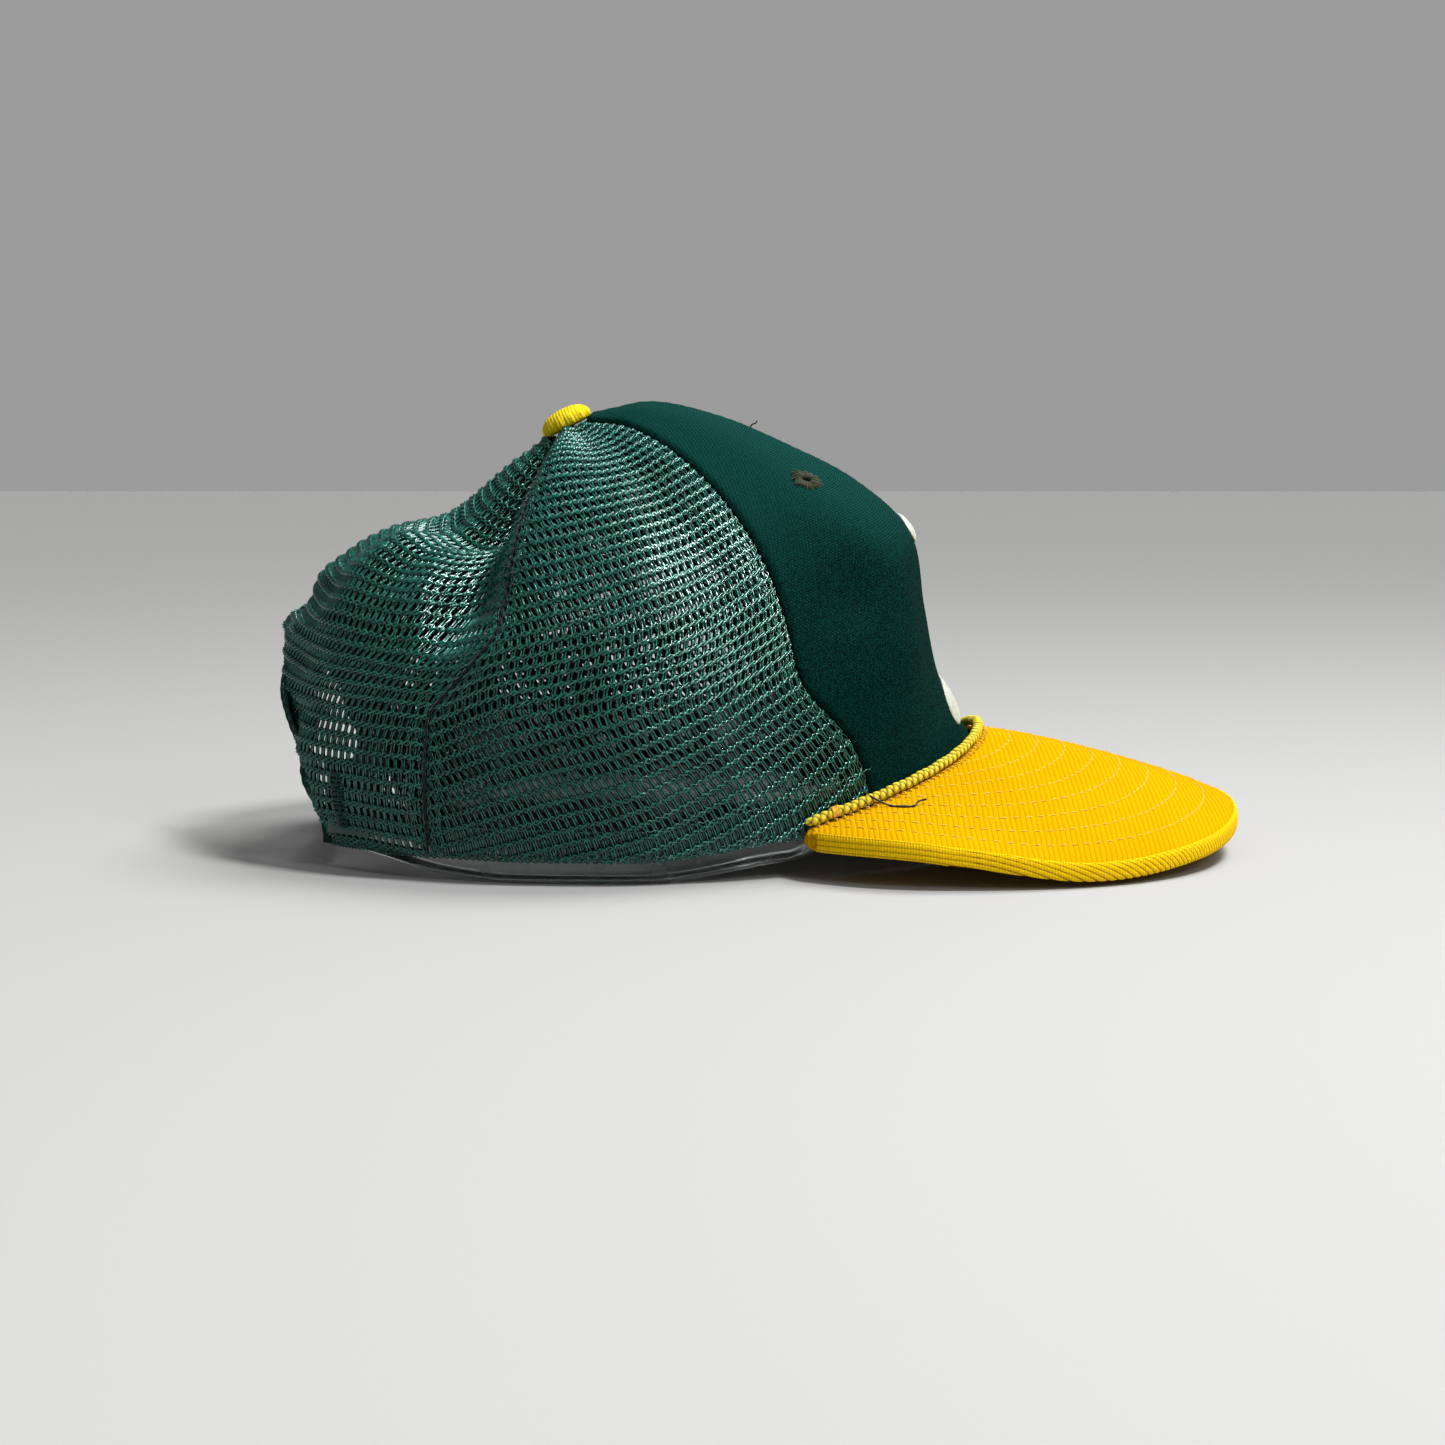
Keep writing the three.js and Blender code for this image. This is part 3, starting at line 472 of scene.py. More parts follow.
def net_thread():
    look = Look("net_thread", (.003, .06, .041), .2, Specular_IOR_Level=1.0,
                Specular_Tint=(.72, 1, .92, 1))
    grain = look.noise(look.place(), 900, 3)
    patch = look.noise(look.place(), 60, 2)
    tone = look.mix(look.spread(grain, .38, .66), (.0007, .018, .013), (.013, .205, .150))
    tone = look.mix(look.spread(patch, .3, .75, 0, .6), tone, (.0035, .080, .056))
    # Painted shade: thread faces that face the inside of the crown are made nearly black, standing in for the
    # shade inside the cap.
    away = look.node("ShaderNodeVectorMath", props={"operation": "SUBTRACT"}, i0=look.place(),
                     i1=(0, CENTRE_Y * MM, .03))
    facing = look.node("ShaderNodeVectorMath", out=1, props={"operation": "DOT_PRODUCT"}, i0=away,
                       i1=look.facing())
    look.colour(look.mix(look.spread(facing, -.02, .012), (.0002, .005, .004), tone))
    look.rough(look.spread(grain, .3, .7, .10, .26))
    look.bumped(grain, .00012, .6)
    return look.material


def front_knit():
    """Fine double knit: columns of small loops, a little fuzzy."""
    look = Look("front_knit", (.003, .045, .036), .8, Specular_IOR_Level=.02)
    weave = look.weave()
    loops = look.node("ShaderNodeTexBrick", out=1, Vector=weave, Scale=1.0, Mortar_Size=.13,
                      Mortar_Smooth=.7, Brick_Width=1.0, Row_Height=.72)
    fuzz = look.noise(look.place(), 2600, 2)
    patch = look.noise(look.place(), 22, 3)
    mottle = look.noise(look.place(), 1000, 2)
    tone = look.mix(look.spread(patch, .35, .7), (.0003, .014, .012), (.0009, .024, .019))
    tone = look.mix(look.spread(mottle, .4, .62), (.0003, .008, .0065), tone)
    # Painted light: the knit is made lighter where it faces upward, standing in for the light from above.
    up = look.part(look.facing(), "Z")
    tone = look.mix(look.spread(up, .35, .95, 0, .55), tone, (.005, .085, .070))
    tone = look.mix(look.math("MULTIPLY", loops, .75), tone, (.0002, .006, .005))
    look.colour(look.mix(look.spread(fuzz, .45, .75, 0, .65), tone, (.004, .075, .060)))
    height = look.math("SUBTRACT", look.math("MULTIPLY", fuzz, .4), look.math("MULTIPLY", loops, .8))
    look.bumped(height, .0003, 1.0)
    return look.material


def flat_tape(name="woven_tape", dark=(.004, .025, .019), light=(.010, .05, .038), pitch=.7):
    look = Look(name, light, .8, Specular_IOR_Level=.05)
    weave = look.weave()
    rows = look.node("ShaderNodeTexBrick", out=1, Vector=weave, Scale=1.0, Mortar_Size=.09,
                     Mortar_Smooth=.9, Brick_Width=pitch * 1.6, Row_Height=pitch)
    fuzz = look.noise(look.place(), 1500, 2)
    tone = look.mix(look.spread(fuzz, .35, .7), dark, light)
    look.colour(look.mix(look.math("MULTIPLY", rows, .6), tone, tuple(c * .4 for c in dark)))
    look.bumped(look.math("SUBTRACT", look.math("MULTIPLY", fuzz, .4), rows), .00015, .7)
    return look.material


def pale_foam():
    look = Look("pale_foam", (.62, .61, .56), .95)
    cells = look.node("ShaderNodeTexVoronoi", Vector=look.place(), Scale=1100.0)
    stain = look.noise(look.place(), 45, 4)
    look.colour(look.mix(look.spread(stain, .4, .75), (.66, .65, .60), (.50, .47, .38)))
    look.bumped(cells, .0002, .5)
    return look.material


def ribbed_yellow(name, base=(.66, .365, .0003), groove=(.41, .185, .0001), pitch=.95, block=1.35,
                  depth=.00022):
    """Ribbed cloth: ribs along the weave's x, each pinched into short blocks by the cross threads."""
    look = Look(name, base, .8, Specular_IOR_Level=.005)
    weave = look.weave()
    drift = look.noise(look.place(), 140, 2)
    shift = look.spread(drift, 0, 1, -.3, .3)
    bent = look.node("ShaderNodeVectorMath", props={"operation": "ADD"}, i0=weave,
                     i1=look.node("ShaderNodeCombineXYZ", X=shift, Y=shift, Z=0.0))
    x, y = look.part(bent, "X"), look.part(bent, "Y")
    rib, pinch = look.waves(y, pitch), look.waves(x, block)
    fuzz = look.noise(look.place(), 2400, 3)
    patch = look.noise(look.place(), 30, 4)
    worn = tuple(c * fade for c, fade in zip(base, (.93, .84, .8)))
    tone = look.mix(look.spread(patch, .3, .75), base, worn)
    tone = look.mix(look.spread(fuzz, .4, .75, 0, .3), tone, (.72, .435, .001))
    shade = look.math("MAXIMUM", look.spread(rib, 0, .5, .55, 0), look.spread(pinch, 0, .55, .8, 0))
    look.colour(look.mix(shade, tone, groove))
    height = look.math("ADD", look.math("MULTIPLY", rib, .45), look.math("MULTIPLY", pinch, .7))
    look.bumped(look.math("ADD", height, look.math("MULTIPLY", fuzz, .3)), depth, .9)
    return look.material


def rim_ribs():
    """The cloth rolled round the edge: brown shadow between its ribs, whose height is the weave's z."""
    look = Look("rim_cloth", (.9, .52, .004), .8, Specular_IOR_Level=.03)
    weave = look.weave()
    relief = look.part(weave, "Z")
    pinch = look.waves(look.part(weave, "X"), .7)
    fuzz = look.noise(look.place(), 2200, 3)
    tone = look.mix(look.spread(fuzz, .35, .75), (.84, .48, .003), (1.0, .70, .006))
    # Painted shade: darker where the cross threads pinch the ribs.
    tone = look.mix(look.spread(pinch, 0, .5, .3, 0), tone, (.5, .22, .003))
    look.colour(look.mix(look.spread(relief, .15, .7), (.15, .055, .002), tone))
    look.bumped(look.math("ADD", fuzz, pinch), .00015, .8)
    return look.material


def thread(name, colour, roughness=.6, shine=.3, shade=.55):
    look = Look(name, colour, roughness, Sheen_Weight=.2, Specular_IOR_Level=shine)
    fibre = look.noise(look.place(), 1800, 3)
    dark = tuple(c * shade for c in colour)
    bright = tuple(min(c * 1.25, 1) for c in colour)
    look.colour(look.mix(look.spread(fibre, .35, .7), dark, bright))
    look.bumped(fibre, .0001, .5)
    return look.material


def rope_cotton():
    look = Look("rope_cotton", (.98, .76, .02), .65, Specular_IOR_Level=.1)
    relief = look.part(look.weave(), "Z")
    fibre = look.noise(look.place(), 2200, 3)
    # Painted shade: the low ground between the strands is made dark brown.
    tone = look.mix(look.spread(relief, .35, 1.0), (.12, .06, .001), (.76, .62, .03))
    look.colour(look.mix(look.spread(fibre, .45, .8, 0, .35), tone, (.85, .75, .16)))
    look.bumped(fibre, .00012, .6)
    return look.material


def clear_plastic():
    look = Look("clear_plastic", (.62, .67, .66), .2, Transmission_Weight=.985, IOR=1.42)
    smear = look.noise(look.place(), 140, 4)
    height = look.part(look.place(), "Z")
    haze = look.spread(smear, .35, .75, .14, .34)
    look.rough(look.math("MULTIPLY", haze, look.spread(height, .008, .014, 1, .25)))
    clear = look.mix(look.spread(smear, .4, .8), (.64, .69, .68), (.52, .55, .53))
    # Painted shade: above 9 to 15 mm from the table, where the band stands inside the crown behind the net,
    # it is tinted nearly black.
    look.colour(look.mix(look.spread(height, .009, .015), clear, (.15, .18, .17)))
    look.bumped(smear, .0004, .25)
    return look.material


def moulded_plastic():
    look = Look("moulded_plastic", (.006, .045, .034), .36, Specular_IOR_Level=.5)
    grain = look.noise(look.place(), 1600, 2)
    wear = look.noise(look.place(), 75, 5)
    look.colour(look.mix(look.spread(wear, .4, .75), (.006, .045, .034), (.013, .065, .05)))
    look.rough(look.spread(wear, .3, .75, .28, .5))
    look.bumped(grain, .00006, .4)
    return look.material


def stiff_board():
    look = Look("stiff_board", (.04, .042, .04), .7)
    fleck = look.noise(look.place(), 500, 4)
    look.colour(look.mix(look.spread(fleck, .4, .7), (.03, .032, .03), (.07, .07, .066)))
    look.bumped(fleck, .0001, .4)
    return look.material


def plated_steel():
    look = Look("plated_steel", (.6, .6, .58), .3, Metallic=1.0)
    stretched = look.node("ShaderNodeMapping", Vector=look.place(), Scale=(1, 1, .1))
    scuff = look.noise(stretched, 900, 3)
    look.rough(look.spread(scuff, .3, .7, .2, .45))
    look.colour(look.mix(look.spread(scuff, .4, .8), (.62, .61, .59), (.42, .41, .39)))
    return look.material


NET, KNIT, TAPE, FOAM = net_thread(), front_knit(), flat_tape(), pale_foam()
BILL_CLOTH = ribbed_yellow("bill_cloth")
RIM_CLOTH = rim_ribs()
BUTTON_CLOTH = ribbed_yellow("button_cloth", base=(.86, .72, .028), groove=(.68, .42, .005), pitch=.8,
                             block=.9, depth=.0002)
BILL_STITCH = thread("bill_stitch", (.86, .48, .004))
GREEN_STITCH = thread("green_stitch", (.005, .045, .037), .7, .1)
OLIVE_STITCH = thread("olive_stitch", (.032, .040, .018), .8, .1)
DARK_STITCH = thread("dark_stitch", (.022, .008, .012), .5)
# Near-black thread of the rear seams: its colour is painted shade for the seam's groove.
SEAM_SHADE_STITCH = thread("seam_stitch", (.001, .008, .006), .7, .1)
WHITE_STITCH = thread("white_stitch", (.49, .51, .45), .4, .4, shade=.9)
ROPE, CLEAR, PLASTIC = rope_cotton(), clear_plastic(), moulded_plastic()
BOARD, STEEL = stiff_board(), plated_steel()
LABEL = flat_tape("label_satin", (.62, .63, .6), (.78, .79, .75), .3)


# ---- gores --------------------------------------------------------------------------------------
SIDES = (("right", -1), ("left", 1))
SEAM_GAP = 0.15
KNIT_THICK, FOAM_DEPTH, FOAM_INNER = .9, 1.9, 3.1
FRONT_TAPE_DEPTH, REAR_TAPE_DEPTH = 3.5, 1.7


def centre_front(t):
    return np.zeros_like(np.asarray(t, float))


def centre_back(t):
    return np.full_like(np.asarray(t, float), 180.0)


def gore_grid(first, second, side, columns, rows, low=0.0, high=GORE_TOP, gap=SEAM_GAP):
    """Angles and ts between two seams; the bottom follows the arch where that is higher."""
    share = (1 - np.cos(np.linspace(0, np.pi, columns))) / 2
    share = (share * .35 + np.linspace(0, 1, columns) * .65)[:, None]
    low = np.full((columns, 1), low)
    for _ in range(12):
        edge = arch_edge(first(low) * (1 - share) + second(low) * share)
        low = np.maximum(low * .5 + edge * .5, 0)
    t = low + (high - low) * np.linspace(0, 1, rows)[None, :]
    first_angle, second_angle = first(t), second(t)
    first_angle = first_angle + crown.degrees(gap, side * first_angle, t)
    second_angle = second_angle - crown.degrees(gap, side * second_angle, t)
    return side * (first_angle * (1 - share) + second_angle * share), t


def flat_weave(points, side):
    """Millimetres across and along a grid of points, from its middle column."""
    middle = points.shape[0] // 2
    across = distances(points)
    across = (across - across[middle]) * side
    along = np.broadcast_to(distances(points[middle]), across.shape)
    return np.stack([across, along, np.zeros_like(across)], -1)


EYELET_ANGLE, EYELET_T, EYELET_HOLE, EYELET_RADIUS = 38.0, 0.57, 1.5, 4.0
eyelet_centres = {name: crown.at(side * EYELET_ANGLE, EYELET_T) for name, side in SIDES}


def without_holes(points, faces, centres, radius):
    """Leaves out the faces round some centres."""
    faces = np.asarray(faces)
    middle = points[faces].mean(axis=1)
    keep = np.ones(len(faces), bool)
    for centre in centres:
        keep &= np.linalg.norm(middle - centre, axis=1) > radius
    return faces[keep]


def front_panel(name, side):
    """Stiff knit, rolled under at its seams."""
    angle, t = gore_grid(centre_front, front_seam, side, 96, 150)
    surface = crown.at(angle, t)
    weave = flat_weave(surface, 1)
    to_centre = np.abs(weave[..., 0] - weave[0:1, :, 0])
    to_side = np.abs(weave[..., 0] - weave[-1:, :, 0])
    roll = .75 * np.clip(1 - to_centre / 1.1, 0, 1) ** 2 + 1.0 * np.clip(1 - to_side / 2.0, 0, 1) ** 2
    pucker = .09 * np.sin(weave[..., 1] * 1.5) * np.exp(-np.minimum(to_centre, to_side) / 3.0)
    outer = crown.at(angle, t, roll - pucker)
    inner = crown.at(angle, t, roll + KNIT_THICK)
    points, faces, weave = plate(outer, inner, weave, flip=side > 0)
    faces = without_holes(points, faces, [eyelet_centres[name]], EYELET_HOLE)
    add_piece(f"front_cloth_{name}", points, faces, KNIT, "front_cloth",
              replaces=[f"front_panel_{name}"], weave=weave)


def front_lining(name, side):
    angle, t = gore_grid(centre_front, front_seam, side, 40, 60, .05, .9, gap=.8)
    outer, inner = crown.at(angle, t, FOAM_DEPTH), crown.at(angle, t, FOAM_INNER)
    points, faces, weave = plate(outer, inner, flat_weave(outer, 1), flip=side > 0)
    faces = without_holes(points, faces, [eyelet_centres[name]], EYELET_HOLE + 1.7)
    piece = add_piece(f"front_foam_{name}", points, faces, FOAM, "front_foam",
                      replaces=[f"front_lining_{name}"], weave=weave)


def beside(seam, side, t, across):
    """Angle and t of points at a distance square to a seam, positive away from the front."""
    t = np.broadcast_to(t, np.broadcast(t, across).shape)
    step = .004
    angle = side * seam(t)
    ahead = crown.at(side * seam(np.minimum(t + step, 1)), np.minimum(t + step, 1))
    behind = crown.at(side * seam(np.maximum(t - step, 0)), np.maximum(t - step, 0))
    square = side * np.cross(crown.normal(angle, t), unit(ahead - behind))
    per_angle = (crown.at(angle + .5, t) - crown.at(angle - .5, t))
    per_t = (crown.at(angle, t + step) - crown.at(angle, t - step)) / (2 * step)
    aa, at, tt = ((per_angle * per_angle).sum(-1), (per_angle * per_t).sum(-1), (per_t * per_t).sum(-1))
    a, b = (square * per_angle).sum(-1), (square * per_t).sum(-1)
    det = np.maximum(aa * tt - at * at, 1e-6)
    turn = np.clip((a * tt - b * at) / det * across, -8 - 3 * np.abs(across), 8 + 3 * np.abs(across))
    return angle - turn, np.clip(t - (b * aa - a * at) / det * across, 0, 1)


def seam_tape(name, node, seam, side, depth, low=.02, high=.9, half=6.0):
    t = np.linspace(low, high, 110)[None, :]
    across = np.linspace(-half, half, 15)[:, None] * np.ones_like(t)
    angle, t = beside(seam, side, t, across)
    crease = .25 * np.cos(across * np.pi / half)
    outer, inner = crown.at(angle, t, depth - crease + .25), crown.at(angle, t, depth - crease + .95)
    add_plate(name, outer, inner, TAPE, "seam_tape", flat_weave(outer, 1), side > 0, replaces=[node])


for side_name, side_sign in SIDES:
    front_panel(side_name, side_sign)
    front_lining(side_name, side_sign)
    seam_tape(f"front_side_binding_{side_name}", f"front_side_tape_{side_name}", front_seam, side_sign,
              FRONT_TAPE_DEPTH)
    seam_tape(f"side_rear_binding_{side_name}", f"side_rear_tape_{side_name}", rear_seam, side_sign,
              REAR_TAPE_DEPTH, half=5.0)
seam_tape("centre_front_binding", "centre_front_tape", centre_front, 1, FRONT_TAPE_DEPTH)
seam_tape("centre_back_binding", "centre_back_tape", centre_back, 1, REAR_TAPE_DEPTH, low=ARCH_TOP + .03)


# ---- the net ------------------------------------------------------------------------------------
CELL = 2.3       # from one hole to the next along a row
ROW = 3.6        # from one row of holes to the next
CHAIN_RADIUS, PILLAR_RADIUS = 0.46, 0.38
SEAM_CORD_RADIUS, EDGE_CORD_RADIUS = 0.24, 0.26
CHAIN_APART, CHAIN_SWING, CHAIN_LIFT = 0.24, 0.4, 0.2   # the two crossing threads of a row
NET_DEPTH, FOLD_DEPTH = 0.45, 1.25      # below the crown's face: the net, and its doubled edges
LEFT_FULLER = 0.2      # the left nets' threads are this much thicker
MIDDLE_FULLER = 0.11   # and all are thicker halfway up, where the knit is slack
HEM_FOLD = 8.5   # the net is double this far up from the hem
ARCH_FOLD = 21   # and this far from the rear opening
ARCH_SPAN, ARCH_RISE = 55, 52   # millimetres from the opening's middle to its side and to its top


class Gore:
    """Places flat net coordinates, across and up in millimetres, on a gore."""

    def __init__(self, first, second, side, turn):
        self.first, self.second, self.side = first, second, side
        self.t = np.linspace(0, GORE_TOP, 200)
        middle = side * (first(self.t) + second(self.t)) / 2
        points = crown.at(middle, self.t)
        self.height = distances(points)
        ahead, behind = (crown.look_up(crown.points, middle + step, self.t) for step in (1, -1))
        self.per_degree = np.maximum(np.linalg.norm(ahead - behind, axis=1) / 2, .02)
        half = (second(self.t) - first(self.t)) / 2 * self.per_degree
        self.half_width = half.max()
        self.turn = turn

    def place(self, u, v):
        """Angle, t, how near a seam, and whether the point is on the gore."""
        a = u * math.cos(self.turn) + v * math.sin(self.turn)
        b = -u * math.sin(self.turn) + v * math.cos(self.turn)
        t = np.interp(b, self.height, self.t)
        middle = (self.first(t) + self.second(t)) / 2
        angle = middle + a / np.interp(t, self.t, self.per_degree)
        one = crown.degrees(1, self.side * angle, t)
        margin = np.minimum(angle - self.first(t), self.second(t) - angle) / one
        on = (b > .2) & (b < self.height[-1]) & (margin > .45) & (t > arch_edge(angle) + .002)
        return self.side * angle, t, margin, on


def laid_thread(angle, t, depth, radius, on):
    """A three-sided thread laid on the crown, where it is on."""
    verts, faces = tube(crown.at(angle, t, depth), crown.normal(angle, t), radius, 3, keep=on)
    return drop_unused(verts, faces)


def net_tube(gore, u, v, depth, radius, most_t=1, keep=None):
    angle, t, margin, on = gore.place(u, v)
    on &= t < most_t
    if keep is not None:
        on &= keep(angle, t)
    if not (on[:-1] & on[1:]).any():
        return []
    radius = radius + LEFT_FULLER * (gore.side > 0) + MIDDLE_FULLER * bump(t, .5, .23)
    dip = .75 * np.exp(-((np.maximum(margin, 0) / 1.1) ** 2))
    return [laid_thread(angle, t, depth + dip, radius, on)]


def net_layer(gore, depth, most_t=1, shift=0.0, keep=None):
    """Pairs of threads that swap pillars at every row, and a chain of two crossing threads along each row."""
    tubes = []
    reach = gore.half_width + 32
    low_row = -12 if abs(gore.turn) > .1 else -3
    high_row = int(gore.height[-1] / ROW) + 2 - low_row
    if most_t < 1:
        high_row = 2 - low_row + int(np.interp(most_t, gore.t, gore.height) / ROW)
    steps = np.arange(low_row * 4, high_row * 4 + 1)
    row, part = np.floor_divide(steps, 4), np.mod(steps, 4)
    v = (row + np.array([0, .22, .5, .78])[part]) * ROW
    odd = np.mod(row, 2)
    touch = np.array([0, .38, .30, .38])[part] / CELL
    for i in range(int(-reach / CELL), int(reach / CELL) + 1):
        for hand in (-1, 1):
            pillar = i + hand * .5 * odd
            u = np.where(part == 0, i + hand * .25, pillar + hand * np.where(odd, -1, 1) * touch)
            lift = np.where(part == 0, .15 + hand * .2, .2 - hand * .08)
            tubes += net_tube(gore, u * CELL + shift, v, depth + lift, PILLAR_RADIUS, most_t, keep)
    quarters = np.arange(int(-4 * reach / CELL), int(4 * reach / CELL) + 1)
    for j in range(low_row, high_row):
        swing = quarters * np.pi / 2 + j * np.pi
        for way in (-1, 1):
            v = j * ROW + way * (CHAIN_APART - CHAIN_SWING * np.sin(swing))
            lift = -CHAIN_LIFT - way * CHAIN_LIFT * np.cos(swing)
            u = quarters * CELL / 4 + shift
            tubes += net_tube(gore, u, v, depth + lift, CHAIN_RADIUS, most_t, keep)
    return tubes


def seam_cords(gore, depth=.5):
    """Zigzag threads that run along both seams of a gore."""
    tubes = []
    t = np.linspace(.004, GORE_TOP, 190)
    count = np.arange(len(t))
    for seam, inward in ((gore.first, 1), (gore.second, -1)):
        for offset, phase in ((.7, 0), (1.45, 2.0), (3.1, 4.0), (3.9, 5.5)):
            zig = inward * (offset + .3 * np.sin(count * 1.9 + phase))
            angle, t_here = beside(seam, gore.side, t, zig)
            on = t_here > arch_edge(angle)
            lift = .3 * (offset < 1) + .15 * np.cos(count * 1.9 + phase)
            tubes.append(laid_thread(angle, t_here, depth - .1 + lift, SEAM_CORD_RADIUS, on))
    return tubes


def hem_cords(gore, depth=.35):
    """The turned-up edge: close threads along the hem."""
    tubes = []
    share = np.linspace(0, 1, 240)
    count = np.arange(240)
    for rise, phase in ((.25, 0), (.8, 1.5), (1.5, 3.0), (HEM_FOLD, 1.0)):
        angle = gore.first(0) - .15 + (gore.second(0) - gore.first(0) + .3) * share
        t = np.interp(rise + .25 * np.sin(count * 1.7 + phase), gore.height, gore.t)
        on = arch_edge(angle) <= t
        lift = .15 * np.cos(count * 1.7 + phase)
        tubes.append(laid_thread(gore.side * angle, t, depth + lift, EDGE_CORD_RADIUS, on))
    return tubes


def arch_place(turn, into):
    """Angle and t beside the arch's edge, into millimetres inside the opening."""
    angle = 180 - ARCH_ANGLE * (1 - into / ARCH_SPAN) * np.cos(turn)
    return angle, ARCH_TOP * (1 - into / ARCH_RISE) * np.sin(turn)


def arch_cords(gore, depth=.5):
    """Close threads that follow the edge of the rear opening."""
    tubes = []
    count = np.arange(150)
    turn = np.linspace(.01, np.pi / 2 - .02, 150)
    for into, phase in ((-.5, 0), (-1.2, 1.5), (-2.0, 3.0), (-2.9, 4.2)):
        reach = into + .3 * np.sin(count * 1.9 + phase)
        away, t = arch_place(turn, reach)
        lift = .15 * np.cos(count * 1.9 + phase)
        tubes.append(laid_thread(gore.side * away, t, depth + lift, EDGE_CORD_RADIUS, t > .003))
    return tubes


def near_arch(angle, t):
    """Whether a point of the net is within the doubled strip round the rear opening."""
    across = (180 - np.abs(angle)) / (ARCH_ANGLE + ARCH_FOLD / ARCH_SPAN * ARCH_ANGLE)
    rise = t / (ARCH_TOP * (1 + ARCH_FOLD / ARCH_RISE))
    return (across ** 2 + rise ** 2 < 1) & (t > .07)


def net_panel(name, node, first, second, side, turn):
    gore = Gore(first, second, side, turn)
    fold = np.interp(HEM_FOLD, gore.height, gore.t)
    tubes = net_layer(gore, NET_DEPTH) + net_layer(gore, FOLD_DEPTH, fold, CELL * .45)
    tubes += seam_cords(gore) + hem_cords(gore)
    if second is centre_back:
        tubes += arch_cords(gore) + net_layer(gore, FOLD_DEPTH, .47, CELL * .5, keep=near_arch)
    starts = np.cumsum([0] + [len(p) for p, _ in tubes[:-1]])
    points = np.concatenate([p for p, _ in tubes])
    faces = np.concatenate([f + s for (_, f), s in zip(tubes, starts)])
    return add_piece(name, points, faces, NET, "mesh_knit", replaces=[node])


SIDE_NET_TURN, REAR_NET_TURN = math.radians(15), math.radians(-3)
for side_name, side_sign in SIDES:
    net_panel(f"side_net_{side_name}", f"side_mesh_{side_name}", front_seam, rear_seam, side_sign,
              SIDE_NET_TURN)
    net_panel(f"rear_net_{side_name}", f"rear_mesh_{side_name}", rear_seam, centre_back, side_sign,
              REAR_NET_TURN)


# ---- the bill -----------------------------------------------------------------------------------
EDGE_SIDES = [-0.34, 0, 0.34, 0.58, 0.8, 1]
EDGE_HEIGHTS = [8, 12.5, 8, 5.8, 11.5, 12.3]
BILL_END = 0.97
TOP_INNER, BOARD_MIDDLE, UNDER_INNER, UNDER_OUTER = 1.15, 2.2, 3.7, 4.45    # below the bill's top
ROW_PITCH = 7.5
ROW_INSETS = [9 + ROW_PITCH * i for i in range(8)]   # rows of stitches, in from the edge


def paint_node(name, material):
    """Gives a solid that stays visible its own material."""
    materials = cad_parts[name].data.materials
    materials.clear()
    materials.append(material)


def bill_outline(side):
    along = np.abs(side)
    sweep = np.minimum(along / BILL_RETURN, 1) * np.pi / 2
    power = 2 / BILL_ROUNDNESS
    x = BILL_HALF_WIDTH * np.sin(sweep) ** power
    y = BILL_WIDEST_Y + (BILL_TIP_Y - BILL_WIDEST_Y) * np.maximum(np.cos(sweep), 0) ** power
    back = np.clip((along - BILL_RETURN) / (1 - BILL_RETURN), 0, 1)
    corner_x, corner_y = oval(BILL_ANGLE)
    x = np.where(along > BILL_RETURN, BILL_HALF_WIDTH - (BILL_HALF_WIDTH - corner_x - 1.5) * back * back, x)
    y = np.where(along > BILL_RETURN, BILL_WIDEST_Y + (corner_y - BILL_WIDEST_Y) * back, y)
    return np.sign(side) * x, y


def bill_width(side):
    inner_x, inner_y = oval(BILL_ANGLE * side)
    outer_x, outer_y = bill_outline(side)
    return np.hypot(outer_x - inner_x, outer_y - inner_y)


def bill_at(side, share, inward=0.0, depth=0.0):
    """A point of the bill: share 0 is the seam, 1 the edge; inward is millimetres in from there."""
    values = (np.asarray(value, float) for value in (side, share, inward, depth))
    side, share, inward, depth = np.broadcast_arrays(*values)
    inner_x, inner_y = oval(BILL_ANGLE * side)
    outer_x, outer_y = bill_outline(side)
    reach = share - inward / np.hypot(outer_x - inner_x, outer_y - inner_y)
    seam = bill_seam_height(side)
    edge = smooth_curve(EDGE_SIDES, EDGE_HEIGHTS, np.abs(side))
    z = seam + (edge - seam) * np.maximum(reach, 0) ** BILL_DOME - depth
    return np.stack([inner_x + (outer_x - inner_x) * reach, inner_y + (outer_y - inner_y) * reach, z], -1)


def bill_sides(count, end=BILL_END):
    """Stations along the bill, closer where its outline turns into the corners."""
    x = np.linspace(-1, 1, count)
    return end * (x - .045 * np.sin(2 * np.pi * x))


def outward(side):
    """The outline's horizontal normal."""
    ahead, behind = bill_outline(side + .002), bill_outline(side - .002)
    dx, dy = ahead[0] - behind[0], ahead[1] - behind[1]
    length = np.maximum(np.hypot(dx, dy), 1e-9)
    return dy / length, -dx / length


def rib_weave(points, down=0.0, normal_x=0.0):
    """Ribs run forward: they stack across the bill, and down its edge where that faces sideways."""
    return np.stack([-points[..., 1], points[..., 0] + down * normal_x, np.zeros(points.shape[:-1])], -1)


def quilting(inset):
    """How far the cloth swells between the rows of stitches."""
    phase = (inset - ROW_INSETS[0]) / ROW_PITCH
    swell = .2 * np.abs(np.sin(np.pi * phase)) ** .55
    return swell * ramp(1.0, 3.0, inset)


def sag(points):
    """Slow waves in the bill's upper cloth."""
    return .25 * np.sin(points[..., 0] * .11 + 1) * np.sin(points[..., 1] * .09)


